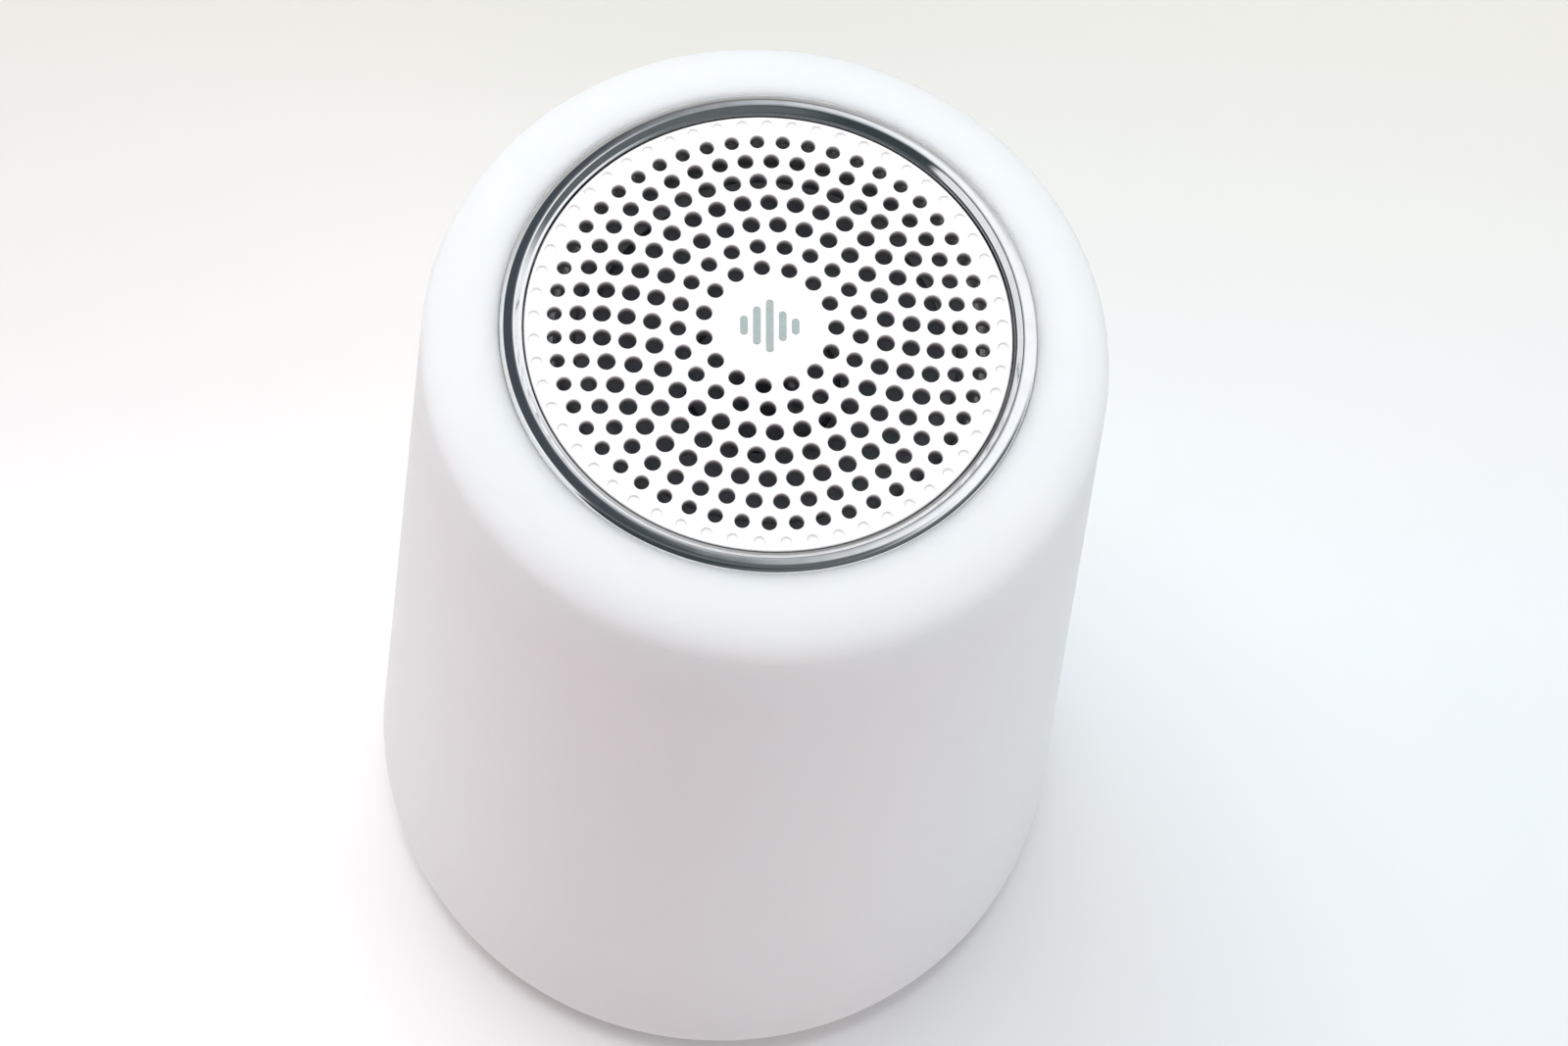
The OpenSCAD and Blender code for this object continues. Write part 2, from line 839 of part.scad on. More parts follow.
// Slide knob with three finger ridges and a stem into the switch.
module power_knob() {
    face_y = panel_y + 0.3;
    back_y = panel_y - panel_t + 0.1;
    ridge = 0.4;
    stem_h = 0.7;
    stem_len = 1.5;
    color("black")
        translate([power_x - switch_travel / 2, 0, power_z]) {
            box(-knob_w / 2, knob_w / 2, back_y, face_y, -knob_h / 2, knob_h / 2);
            for (s = [-2, 0, 2])
                box((s - 0.5) * ridge, (s + 0.5) * ridge, face_y - eps, face_y + 0.35,
                    -knob_h / 2, knob_h / 2);
            box(-knob_stem_w / 2, knob_stem_w / 2, back_y - stem_len, back_y + eps,
                -stem_h / 2, stem_h / 2);
        }
}

module key_board() {
    color("darkgreen")
        translate([key_board_x - key_board_w / 2, key_board_y, key_board_z])
            cube([key_board_w, key_board_t, key_board_h]);
}

// Dome switches: a square can with a round plunger that the key pushes.
module key_switches() {
    can = 4.2;
    can_y = key_board_y + key_board_t;
    color("silver")
        for (x = key_x)
            translate([x, can_y, key_z]) {
                translate([-can / 2, 0, -can / 2]) cube([can, can_t, can]);
                translate([0, can_t - eps, 0]) rotate([-90, 0, 0])
                    cylinder(r = 1, h = plunger_t, $fn = 32);
            }
}

// One key: a rounded cap, a flange that holds it in the panel and a stem.
module key(x) {
    back = panel_y - panel_t - key_gap;
    plunger_y = key_board_y + key_board_t + can_t + plunger_t;
    facing_back(x, key_z, back - eps, panel_y + key_proud) round_rect(key_w, key_h, key_h / 2 - eps);
    facing_back(x, key_z, back - key_flange_t, back)
        round_rect(key_w + 2 * key_flange, key_h + 2 * key_flange, key_h / 2);
    facing_back(x, key_z, plunger_y + key_travel + 0.1, back - key_flange_t + eps)
        circle(1.2, $fn = 32);
}

module volume_down_key() {
    color("lightgray") key(key_x[0]);
}

module mode_key() {
    color("lightgray") key(key_x[1]);
}

module volume_up_key() {
    color("lightgray") key(key_x[2]);
}

module light_pipe() {
    color("lightblue")
        facing_back(led_pipe_x, key_z, panel_y - 2 * panel_t, panel_y + 0.1)
            circle(led_pipe_r, $fn = 32);
}

// ---- base ----

// Flat panel in the shade's rear window, with an opening for each port and key.
module port_panel() {
    slot_w = knob_w + switch_travel + 0.4;
    sill_half_w = panel_half_w - window_corner;
    apron_half_w = 17;
    plate_z = window_z + panel_gap;
    plate_h = panel_top - plate_z;
    color("whitesmoke")
        difference() {
            union() {
                facing_back(0, plate_z + plate_h / 2, panel_y - panel_t, panel_y)
                    round_rect(2 * panel_half_w, plate_h, window_corner - panel_gap);
                intersection() {
                    union() {
                        disc(side_r(panel_top) - shade_wall - panel_gap, panel_top - lip_t, panel_top);
                        disc(shade_bottom_r - shade_wall - panel_gap, plinth_h, window_z - 0.1);
                    }
                    box(-sill_half_w, sill_half_w, panel_y - panel_t, far, 0, far);
                }
                box(-apron_half_w, apron_half_w, panel_y - panel_t, panel_y, plinth_h, window_z + 1);
            }
            for (x = key_x)
                facing_back(x, key_z, panel_y - panel_t - 1, panel_y + 1)
                    round_rect(key_w + 2 * key_gap, key_h + 2 * key_gap, key_h / 2);
            facing_back(led_pipe_x, key_z, panel_y - panel_t - 1, panel_y + 1)
                circle(led_pipe_r + 0.1, $fn = 32);
            facing_back(power_x, power_z, panel_y - panel_t - 1, panel_y + 1)
                square([slot_w, knob_h + 0.4], center = true);
            facing_back(usb_x, usb_z, panel_y - panel_t - 1, panel_y + 1)
                round_rect(usb_w + 0.4, usb_h + 0.4, 0.9);
            facing_back(card_x, card_z, panel_y - panel_t - 1, panel_y + 1)
                square([card_w + 0.3, card_h + 0.3], center = true);
            facing_back(jack_x, jack_z, panel_y - panel_t - 1, panel_y + 1) circle(nose_r + 0.1, $fn = 48);
        }
}

// Plinth ring with a rounded foot edge, an inner spigot and four screw bosses.
module base_housing() {
    edge = 1.2;
    boss_rib = 4;
    wall_in = plinth_r - plinth_wall;
    color("whitesmoke")
        difference() {
            union() {
                rotate_extrude($fn = 180)
                    polygon(concat([[wall_in, foot_rise]],
                                   arc(plinth_r - edge, foot_rise + edge, edge, edge, 270, 360, 6),
                                   [[plinth_r, plinth_h], [spigot_r, plinth_h],
                                    [spigot_r, spigot_top], [spigot_r - spigot_wall, spigot_top],
                                    [spigot_r - spigot_wall, plinth_h - 2], [wall_in, plinth_h - 3.4]]));
                around(boss_ring_r, boss_angles) disc(boss_r, foot_rise + cover_t, spigot_top);
                around(boss_ring_r, boss_angles)
                    box(0, boss_rib, -1, 1, foot_rise + cover_t, spigot_top);
            }
            around(boss_ring_r, boss_angles) disc(pilot_r, foot_rise, spigot_top + 1);
            box(-panel_half_w - panel_gap, panel_half_w + panel_gap, core_back_y, far,
                plinth_h, spigot_top + 1);
        }
}

// Disc that closes the base, with the foot's groove and posts for the main board.
module bottom_cover() {
    groove_gap = 0.1;
    color("whitesmoke")
        difference() {
            union() {
                disc(cover_r, foot_rise, foot_rise + cover_t);
                around(standoff_ring_r, standoff_angles) disc(standoff_r, foot_rise, board_z);
            }
            tube(foot_r + groove_gap, foot_r - foot_w - groove_gap, foot_rise - 1, foot_rise + foot_groove);
            around(boss_ring_r, boss_angles) {
                disc(screw_r + 0.1, foot_rise - 1, foot_rise + cover_t + 1);
                disc(head_r + 0.2, foot_rise - 1, foot_rise + counterbore);
            }
            around(standoff_ring_r, standoff_angles) disc(pilot_r, foot_rise + 2.6, board_z + 1);
        }
}

module bottom_screws() {
    color("silver")
        around(boss_ring_r, boss_angles)
            translate([0, 0, foot_rise + counterbore]) rotate([180, 0, 0]) screw(7, head_h = 0.9);
}

// Silicone foot ring, bonded in the cover's groove.
module foot_ring() {
    color("gainsboro")
        tube(foot_r, foot_r - foot_w, 0, foot_rise + foot_groove);
}

shade();
trim_ring();
grille();
badge();
ring_seal();
chamber();
speaker_gasket();
speaker_frame();
surround();
speaker_cone();
dust_cap();
voice_coil();
spider();
magnet();
front_plate();
yoke();
touch_contact();
touch_lead();
speaker_leads();
column();
column_screws();
chamber_screws();
led_board();
leds();
led_board_screws();
core_cover();
core_screws();
battery_cradle();
battery_cell();
battery_tabs();
main_board();
board_parts();
board_screws();
audio_jack();
usb_socket();
card_slot();
power_switch();
power_knob();
key_board();
key_switches();
volume_down_key();
mode_key();
volume_up_key();
light_pipe();
port_panel();
base_housing();
bottom_cover();
bottom_screws();
foot_ring();
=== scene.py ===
from math import atan2, cos, degrees, hypot, pi, radians, sin, sqrt, tan

import bmesh
import bpy
from mathutils import Matrix, Vector, geometry, kdtree


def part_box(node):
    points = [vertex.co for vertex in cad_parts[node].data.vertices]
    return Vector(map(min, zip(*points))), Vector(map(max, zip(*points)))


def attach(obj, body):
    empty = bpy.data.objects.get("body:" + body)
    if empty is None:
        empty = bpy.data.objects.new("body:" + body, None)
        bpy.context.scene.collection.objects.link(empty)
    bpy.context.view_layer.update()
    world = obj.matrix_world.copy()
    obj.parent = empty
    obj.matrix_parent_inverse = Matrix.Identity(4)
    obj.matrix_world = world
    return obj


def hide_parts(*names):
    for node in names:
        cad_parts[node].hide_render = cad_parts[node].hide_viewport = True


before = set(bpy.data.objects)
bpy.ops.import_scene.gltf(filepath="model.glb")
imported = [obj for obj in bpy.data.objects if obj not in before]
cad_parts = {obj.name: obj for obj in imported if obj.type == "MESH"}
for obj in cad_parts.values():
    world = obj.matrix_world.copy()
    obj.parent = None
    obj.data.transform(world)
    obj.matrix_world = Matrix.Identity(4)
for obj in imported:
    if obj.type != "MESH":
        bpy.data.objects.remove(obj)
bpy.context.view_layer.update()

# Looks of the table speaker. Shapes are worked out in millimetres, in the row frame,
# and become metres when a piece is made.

MM = 0.001
BODY = "housing"
CONE_BODY = "cone_assembly"
SNAP = 1e-6  # outline points this close are one, in millimetres


def span(node):
    """Lowest and highest corner of a CAD node, in millimetres."""
    low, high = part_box(node)
    return low / MM, high / MM


# ---- driving sizes, in millimetres ----

RING_PROUD = 0.8
GRILLE_Z = span("trim_ring")[1].z - RING_PROUD
SHADE_LOW, SHADE_HIGH = span("shade")
SHADE_WALL = 2.6
SHADE_HOLE_R = 30.9
SHADE_SEAT_DROP = 1.0
SHOULDER_H = 5.2
SHOULDER_R = 42.2
RING_R = span("trim_ring")[1].x
RING_FLAT_R = 31.55
RING_SLOPE_R = 30.75
RING_HOLE_R = 29.85
RING_SHOULDER_UP = 0.2
RING_LIP = 0.35
RING_LIP_UP = 0.15
RING_SLEEVE_W = 0.85

GRILLE_R = span("grille")[1].x
GRILLE_T = 1.6
HOLE_RINGS = [8.1, 11.1, 14.2, 17.3, 20.3, 23.2, 26.0]
HOLE_SIZES = [2.0, 2.0, 2.2, 2.2, 2.2, 2.0, 1.8]
HOLE_TURNS = [0.7, 11.8, 5.8, 2.9, 1.6, 1.4, 1.6]
FIRST_RING_HOLES = 15
HOLES_PER_STEP = 6
DIMPLE_RING_R = 28.45
DIMPLE_D = 1.4
DIMPLE_DEPTH = 0.35
DIMPLE_TURN = 2.2

PLINTH_WALL = 2.4
SPIGOT_R = 52.9
SPIGOT_WALL = 2.1
COVER_T = 2.2
BOSS_RING_R = 47.5
BOSS_R = 3.2
BOSS_TURNS = [45, 135, 225, 315]

WINDOW_TOP_GAP = 0.3
WINDOW_CORNER = 2.5
WINDOW_BAND = 2.3


# ---- outlines ----

def arc(centre_x, centre_y, radius_x, radius_y, start, end, steps):
    """Points of an elliptic arc, from angle start to angle end, in degrees."""
    points = []
    for i in range(steps + 1):
        a = radians(start + (end - start) * i / steps)
        points.append(Vector((centre_x + radius_x * cos(a), centre_y + radius_y * sin(a))))
    return points


def circle(centre_x, centre_y, radius, steps, turn=0.0):
    """Points of a circle, without the last one, which would repeat the first."""
    return arc(centre_x, centre_y, radius, radius, turn, turn + 360, steps)[:-1]


def fillet(corners, radius=0.0, steps=5):
    """A closed outline with round corners. A corner is (x, y), or (x, y, radius)."""
    points = []
    nearly_straight = radians(87)
    most = 0.48
    for i, corner in enumerate(corners):
        here = Vector(corner[:2])
        before = Vector(corners[i - 1][:2]) - here
        after = Vector(corners[(i + 1) % len(corners)][:2]) - here
        r = corner[2] if len(corner) > 2 else radius
        half = before.angle(after) / 2
        if r <= 0 or half > nearly_straight:
            points.append(here)
            continue
        reach = min(r / tan(half), most * before.length, most * after.length)
        r = reach * tan(half)
        before.normalize()
        after.normalize()
        centre = here + (before + after).normalized() * (r / sin(half))
        first = here + before * reach - centre
        last = here + after * reach - centre
        start = atan2(first.y, first.x)
        turn = (atan2(last.y, last.x) - start + pi) % (2 * pi) - pi
        points += arc(centre.x, centre.y, r, r, degrees(start), degrees(start + turn), steps)
    return points


def round_rect(width, height, radius, grow=0.0, across=1, up=1, steps=6):
    """Closed outline of a rectangle with round corners, its straight sides cut into runs."""
    w = width / 2 - radius
    h = height / 2 - radius
    r = radius + grow
    points = []
    for x, y, start, runs in ((w, h, 0, across), (-w, h, 90, up),
                              (-w, -h, 180, across), (w, -h, 270, up)):
        corner = arc(x, y, r, r, start, start + 90, steps)
        points += corner
        side = Vector((-2 * w, 0)) if start in (0, 180) else Vector((0, -2 * h))
        if start >= 180:
            side = -side
        points += [corner[-1] + side * k / runs for k in range(1, runs)]
    return points


def round_edge(edge, steps=3):
    """Steps over a round edge: how far from the wall, and how deep under the face."""
    turns = [radians(90 * k / steps) for k in range(steps + 1)]
    return [(edge * (1 - sin(a)), edge * (1 - cos(a))) for a in turns]


def outline_normals(outline):
    """Outward directions at the points of a closed outline that runs anticlockwise."""
    normals = []
    for i in range(len(outline)):
        along = outline[(i + 1) % len(outline)] - outline[i - 1]
        normals.append(Vector((along.y, -along.x)).normalized())
    return normals


# ---- meshes ----

class Shell:
    """Vertices and faces of one piece, in millimetres."""

    def __init__(self):
        self.points = []
        self.faces = []

    def add(self, points):
        """Adds vertices and returns their numbers."""
        first = len(self.points)
        self.points += [Vector(p) for p in points]
        return list(range(first, len(self.points)))

    def strip(self, ring, other):
        """Joins two closed rings of as many vertices, or a ring and a pole."""
        count = max(len(ring), len(other))
        for k in range(count):
            n = (k + 1) % count
            if len(ring) == 1:
                self.faces.append((ring[0], other[k], other[n]))
            elif len(other) == 1:
                self.faces.append((ring[k], ring[n], other[0]))
            else:
                self.faces.append((ring[k], ring[n], other[n], other[k]))

    def rings(self, rings, closed=False):
        """Joins rings in their order, and the last with the first if closed."""
        for a, b in zip(rings, rings[1:]):
            self.strip(a, b)
        if closed:
            self.strip(rings[-1], rings[0])

    def lathe(self, outline, segments):
        """Turns a closed outline of (radius, height) about the Z axis."""
        on_axis = 1e-4
        rings = []
        for r, z in outline:
            if r < on_axis:
                rings.append(self.add([(0, 0, z)]))
            else:
                rings.append(self.add([(p.x, p.y, z) for p in circle(0, 0, r, segments)]))
        for k, ring in enumerate(rings):
            other = rings[(k + 1) % len(rings)]
            if len(ring) > 1 or len(other) > 1:
                self.strip(ring, other)

    def prism(self, outline, low, high, edge=0.1, crown=0.0, steps=3, place=None):
        """A solid with that outline from low to high, round edges and a domed top."""
        place = place or Matrix.Identity(4)
        middle = sum(outline, Vector((0, 0))) / len(outline)
        normals = outline_normals(outline)

        def layer(inset, z):
            return self.add([place @ Vector((p.x - n.x * inset, p.y - n.y * inset, z))
                             for p, n in zip(outline, normals)])

        over = round_edge(edge, steps)
        rings = [layer(inset, low + depth) for inset, depth in over]
        rings += [layer(inset, high - depth) for inset, depth in reversed(over)]
        if crown > 0:
            dome_rings = 4
            for k in range(1, dome_rings):
                share = 1 - k / dome_rings
                rings.append(self.add([
                    place @ Vector((middle.x + (p.x - n.x * edge - middle.x) * share,
                                    middle.y + (p.y - n.y * edge - middle.y) * share,
                                    high + crown * (1 - share * share)))
                    for p, n in zip(outline, normals)]))
            rings.append(self.add([place @ Vector((middle.x, middle.y, high + crown))]))
        else:
            self.faces.append(tuple(rings[-1]))
        self.faces.append(tuple(rings[0]))
        self.rings(rings)


def facing_back(x, z):
    """Stands a shape up so that its own height runs towards +Y."""
    return Matrix(((-1, 0, 0, x), (0, 0, 1, 0), (0, 1, 0, z), (0, 0, 0, 1)))


def add_object(name, data):
    """An object with that data, in the scene."""
    thing = bpy.data.objects.new(name, data)
    bpy.context.scene.collection.objects.link(thing)
    return thing


def piece(name, shell, body, slot, replaces=(), look=None):
    """Makes a piece from a shell: smooth apart from its sharp edges, and riding on a body."""
    sharp = 35
    mesh = bpy.data.meshes.new(name)
    mesh.from_pydata([p * MM for p in shell.points], [], shell.faces)
    edit = bmesh.new()
    edit.from_mesh(mesh)
    bmesh.ops.delete(edit, geom=[v for v in edit.verts if not v.link_faces], context="VERTS")
    bmesh.ops.recalc_face_normals(edit, faces=edit.faces)
    for face in edit.faces:
        face.smooth = True
    edit.to_mesh(mesh)
    edit.free()
    mesh.set_sharp_from_angle(angle=radians(sharp))
    mesh.materials.append(LOOKS[look or slot])
    thing = add_object(name, mesh)
    even = thing.modifiers.new("even_normals", "WEIGHTED_NORMAL")
    even.keep_sharp = True
    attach(thing, body)
    if replaces:
        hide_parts(*replaces)


def turned_piece(name, outline, segments, *what, **more):
    """A piece that is one outline turned about the Z axis."""
    shell = Shell()
    shell.lathe(outline, segments)
    piece(name, shell, *what, **more)


def finish_node(node, look, edge):
    """Gives a CAD node its material, and rounds its sharp edges a little."""
    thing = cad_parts[node]
    for place in thing.material_slots:
        place.material = look
    weld = thing.modifiers.new("weld", "WELD")
    weld.merge_threshold = 0.5e-6
    flat = thing.modifiers.new("merge_flats", "DECIMATE")
    flat.decimate_type = "DISSOLVE"
    flat.angle_limit = radians(0.4)
    if edge > 0:
        bevel = thing.modifiers.new("round_edges", "BEVEL")
        bevel.width = edge * MM
        bevel.segments = 2
        bevel.limit_method = "ANGLE"
        bevel.angle_limit = radians(40)
        bevel.harden_normals = False
    even = thing.modifiers.new("even_normals", "WEIGHTED_NORMAL")
    even.keep_sharp = False


# ---- materials ----

LOOKS = {}


def toned(colour, share):
    """A colour made that much darker or lighter."""
    return tuple(c * share for c in colour)


class Graph:
    """A node tree, with short calls for the nodes in it."""

    def __init__(self, tree):
        self.tree = tree

    def node(self, kind, inputs=None, **settings):
        """A new node. An input is a value, or the output of another node."""
        made = self.tree.nodes.new("ShaderNode" + kind)
        for name, value in settings.items():
            setattr(made, name, value)
        for key, value in (inputs or {}).items():
            if isinstance(value, bpy.types.NodeSocket):
                self.tree.links.new(value, made.inputs[key])
            else:
                made.inputs[key].default_value = value
        return made

    def maths(self, operation, a, b=0.0):
        return self.node("Math", {0: a, 1: b}, operation=operation).outputs[0]

    def remap(self, value, low, high, start=0.3, end=0.7):
        """From low to high as the value goes from start to end."""
        return self.node("MapRange", {"Value": value, "From Min": start, "From Max": end,
                                      "To Min": low, "To Max": high}).outputs[0]

    def paint(self, colour):
        return colour if isinstance(colour, bpy.types.NodeSocket) else (*colour, 1)

    def mix(self, share, first, second):
        """The first colour where share is 0, and the second where it is 1."""
        return self.node("Mix", {0: share, 6: self.paint(first), 7: self.paint(second)},
                         data_type="RGBA").outputs[2]

    def vary(self, value, first, second, start=0.3, end=0.7):
        """From the first colour to the second as the value goes from start to end."""
        return self.mix(self.remap(value, 0, 1, start, end), first, second)


class Look(Graph):
    """A Principled material, kept in LOOKS, whose colour and roughness come from nodes."""

    def __init__(self, name, **sockets):
        self.material = LOOKS[name] = bpy.data.materials.new(name)
        self.material.use_nodes = True
        super().__init__(self.material.node_tree)
        self.shader = self.tree.nodes["Principled BSDF"]
        for socket, value in sockets.items():
            self.shader.inputs[socket.replace("_", " ")].default_value = value
        self.place = self.node("TexCoord").outputs["Object"]
        self.normal = None

    def axis(self, name):
        """The place along X, Y or Z, in millimetres."""
        parts = self.node("SeparateXYZ", {0: self.place})
        return self.maths("DIVIDE", parts.outputs[name], MM)

    def steepness(self):
        """0 on level faces and 1 on upright ones."""
        parts = self.node("SeparateXYZ", {0: self.node("NewGeometry").outputs["Normal"]})
        return self.maths("SUBTRACT", 1.0, self.maths("ABSOLUTE", parts.outputs[2]))

    def polar(self, across, along, up):
        """A place made of direction about Z, distance from Z and height, each scaled."""
        parts = self.node("SeparateXYZ", {0: self.place})
        flat = self.node("CombineXYZ", {0: parts.outputs[0], 1: parts.outputs[1]}).outputs[0]
        distance = self.node("VectorMath", {0: flat}, operation="LENGTH").outputs["Value"]
        round_z = self.node("VectorMath", {0: flat}, operation="NORMALIZE").outputs[0]
        wide = self.node("VectorMath", {0: round_z, "Scale": along}, operation="SCALE")
        turned = self.node("SeparateXYZ", {0: wide.outputs[0]})
        lift = self.maths("ADD", self.maths("MULTIPLY", distance, across / MM),
                          self.maths("MULTIPLY", parts.outputs[2], up / MM))
        return self.node("CombineXYZ", {0: turned.outputs[0], 1: turned.outputs[1],
                                        2: lift}).outputs[0]

    def grain(self, size, detail=2.0, stretch=(1, 1, 1), place=None, rough=0.5):
        """Noise from 0 to 1 with features of that size in millimetres, longer where stretched."""
        if place is None:
            place = self.scaled(*(1 / (size * MM * s) for s in stretch))
        return self.node("TexNoise", {"Vector": place, "Scale": 1.0, "Detail": detail,
                                      "Roughness": rough}).outputs["Fac"]

    def scaled(self, *scale):
        """The place, scaled along X, Y and Z."""
        return self.node("Mapping", {0: self.place, "Scale": scale}).outputs[0]

    def cells(self, size):
        """Distance to the nearest of scattered points, which are about that size apart."""
        place = self.scaled(*[1 / (size * MM)] * 3)
        return self.node("TexVoronoi", {"Vector": place, "Scale": 1.0}).outputs["Distance"]

    def bands(self, direction, half, distortion=0.0):
        """Waves from 0 to 1 along a direction, of about that half width in millimetres."""
        half_at_scale_1 = 0.159155
        return self.node("TexWave", {"Vector": self.place, "Scale": half_at_scale_1 / (half * MM),
                                     "Distortion": distortion, "Detail": 1.0},
                         wave_type="BANDS", bands_direction=direction).outputs["Fac"]

    def colour(self, socket):
        self.tree.links.new(socket, self.shader.inputs["Base Color"])

    def metal(self, socket):
        self.tree.links.new(socket, self.shader.inputs["Metallic"])

    def rough(self, value, low, high, start=0.3, end=0.7):
        """Roughness from low to high as the value goes from start to end."""
        rough = self.remap(value, low, high, start, end)
        self.tree.links.new(rough, self.shader.inputs["Roughness"])

    def bump(self, height, depth):
        """Adds a bump of that depth in millimetres over the bumps before it."""
        inputs = {"Height": height, "Distance": depth * MM}
        if self.normal is not None:
            inputs["Normal"] = self.normal
        self.normal = self.node("Bump", inputs).outputs[0]
        self.tree.links.new(self.normal, self.shader.inputs["Normal"])
        return self


def moulded(name, colour, roughness, grain=0.25, depth=0.006, spread=0.04, **sockets):
    """Moulded plastic or rubber: a spark-eroded grain, faint flow marks and uneven gloss."""
    look = Look(name, **sockets)
    fine = look.grain(grain, detail=3)
    flow = look.grain(9)
    look.colour(look.vary(flow, toned(colour, 0.97), colour))
    look.rough(look.grain(2.5, detail=4), roughness - spread, roughness + spread)
    look.bump(flow, depth * 2).bump(fine, depth)


def metal(name, colour, roughness, grain=(0.15, 0.15, 4)):
    """Pressed or plated metal: rolled grain one way, with dull and bright areas."""
    look = Look(name, Metallic=1.0)
    rolled = look.grain(0.3, detail=3, stretch=grain)
    patches = look.grain(3, detail=3)
    spread = 0.08
    look.colour(look.vary(patches, toned(colour, 0.88), colour))
    look.rough(look.grain(1.2, detail=4), roughness - spread, roughness + spread)
    look.bump(rolled, 0.002)


def opal_shade_look():
    """Frosted opal plastic: soft light under the skin, a fine etched grain and faint waves, and
    painted light: a cool bright crown and a side that turns darker and pinker upwards.
    """
    look = Look("opal_shade", Subsurface_Weight=1.0, Subsurface_Scale=0.0065,
                Subsurface_Radius=(1.0, 0.92, 0.86), IOR=1.46)
    waves = look.grain(14, detail=1)
    etched = look.grain(0.16)
    height = look.axis("Z")
    side_low, side_high = 30, 128
    crown_low, crown_high = SHADE_HIGH.z - 17, SHADE_HIGH.z - 1
    # Painted light and shade: the crown is painted a cool bright white, and the side is painted
    # lighter low down and darker and pinker towards the shoulder.
    crown = look.vary(waves, (0.84, 0.925, 0.925), (0.86, 0.935, 0.935))
    side = look.vary(height, (0.95, 0.95, 0.935), (0.865, 0.845, 0.855), side_low, side_high)
    side = look.mix(look.remap(waves, 0, 0.3), side, (0.90, 0.90, 0.91))
    look.colour(look.vary(height, side, crown, crown_low, crown_high))
    look.rough(look.grain(3, detail=4), 0.38, 0.46)
    look.bump(waves, 0.03).bump(etched, 0.005)


def chrome_look():
    """Bright chrome plating, slightly wavy, with hairline wiping marks around the ring."""
    look = Look("chrome_trim", Metallic=1.0)
    wiped = look.grain(1, place=look.polar(across=9, along=14, up=9))
    mist = look.grain(2.2, detail=4)
    look.colour(look.vary(mist, (0.78, 0.80, 0.82), (0.84, 0.86, 0.875)))
    look.rough(wiped, 0.03, 0.10, 0.45, 0.75)
    look.bump(look.grain(5, detail=1), 0.012).bump(wiped, 0.0008)


def grille_look():
    """White satin plastic, spark-eroded, with painted shade: darker down the holes and a trace in
    the dimples.
    """
    look = Look("grille_white", IOR=1.5)
    fine = look.grain(0.12, detail=3)
    patches = look.grain(6, detail=3)
    white = look.vary(patches, (0.865, 0.865, 0.872), (0.895, 0.895, 0.898))
    # Painted shade: below the top face the colour darkens a little everywhere, and strongly on the
    # walls as they go deeper, then less again below the plate.
    depth = look.maths("SUBTRACT", GRILLE_Z, look.axis("Z"))
    depth_shade = look.maths("MULTIPLY", look.remap(depth, 0.08, 0.94, 0.05, 1.05),
                      look.remap(depth, 1, 0.3, GRILLE_T, GRILLE_T + 0.1))
    painted_hole_shade = look.maths("MULTIPLY", depth_shade, look.steepness())
    painted_hole_shade = look.maths("ADD", painted_hole_shade, look.remap(depth, 0, 0.06, 0.05, 0.3))
    look.colour(look.mix(painted_hole_shade, white, (0.105, 0.107, 0.112)))
    look.rough(look.grain(1.4, detail=4), 0.37, 0.47)
    look.bump(patches, 0.008).bump(fine, 0.004)


def ink_look(name, colour):
    """Pad-printed grey ink with a little metal flake, thinner here and there."""
    look = Look(name)
    flakes = look.cells(0.09)
    thin = look.grain(0.8, detail=4)
    base = look.vary(thin, toned(colour, 0.93), toned(colour, 1.07))
    look.colour(look.mix(look.remap(flakes, 0.12, 0, 0.1, 0.5), base, toned(colour, 1.35)))
    look.rough(thin, 0.3, 0.42)
    look.bump(thin, 0.004)


def paper_look():
    """Dark grey pressed paper: matted fibres, slightly shiny where the pulp is dense."""
    look = Look("cone_paper")
    fibres = look.grain(0.5, detail=5, stretch=(1, 3, 1), rough=0.65)
    mat = look.grain(0.22, detail=4, rough=0.6)
    stain = look.vary(look.grain(3.2, detail=1), (0.085, 0.125, 0.122), (0.118, 0.110, 0.145),
                      0.4, 0.6)
    look.colour(look.vary(fibres, stain, (0.150, 0.153, 0.165)))
    look.rough(mat, 0.48, 0.72)
    look.bump(fibres, 0.03).bump(mat, 0.015)


def spider_look():
    """Tan cloth of crossing threads, resin-stiffened."""
    look = Look("spider_cloth")
    thread = 0.5
    woven = look.maths("MAXIMUM", *(look.bands(way, thread, distortion=0.4) for way in "XY"))
    look.colour(look.mix(woven, (0.20, 0.11, 0.04), (0.55, 0.36, 0.16)))
    look.rough(look.grain(0.6), 0.72, 0.88)
    look.bump(woven, 0.05)


def coil_look():
    """Enamelled copper wire, wound in fine level turns."""
    look = Look("copper_wire", Metallic=0.9)
    wire = 0.22
    turns = look.bands("Z", wire)
    look.colour(look.mix(turns, (0.30, 0.10, 0.03), (0.72, 0.32, 0.13)))
    look.rough(look.grain(0.8), 0.22, 0.4)
    look.bump(turns, 0.06)


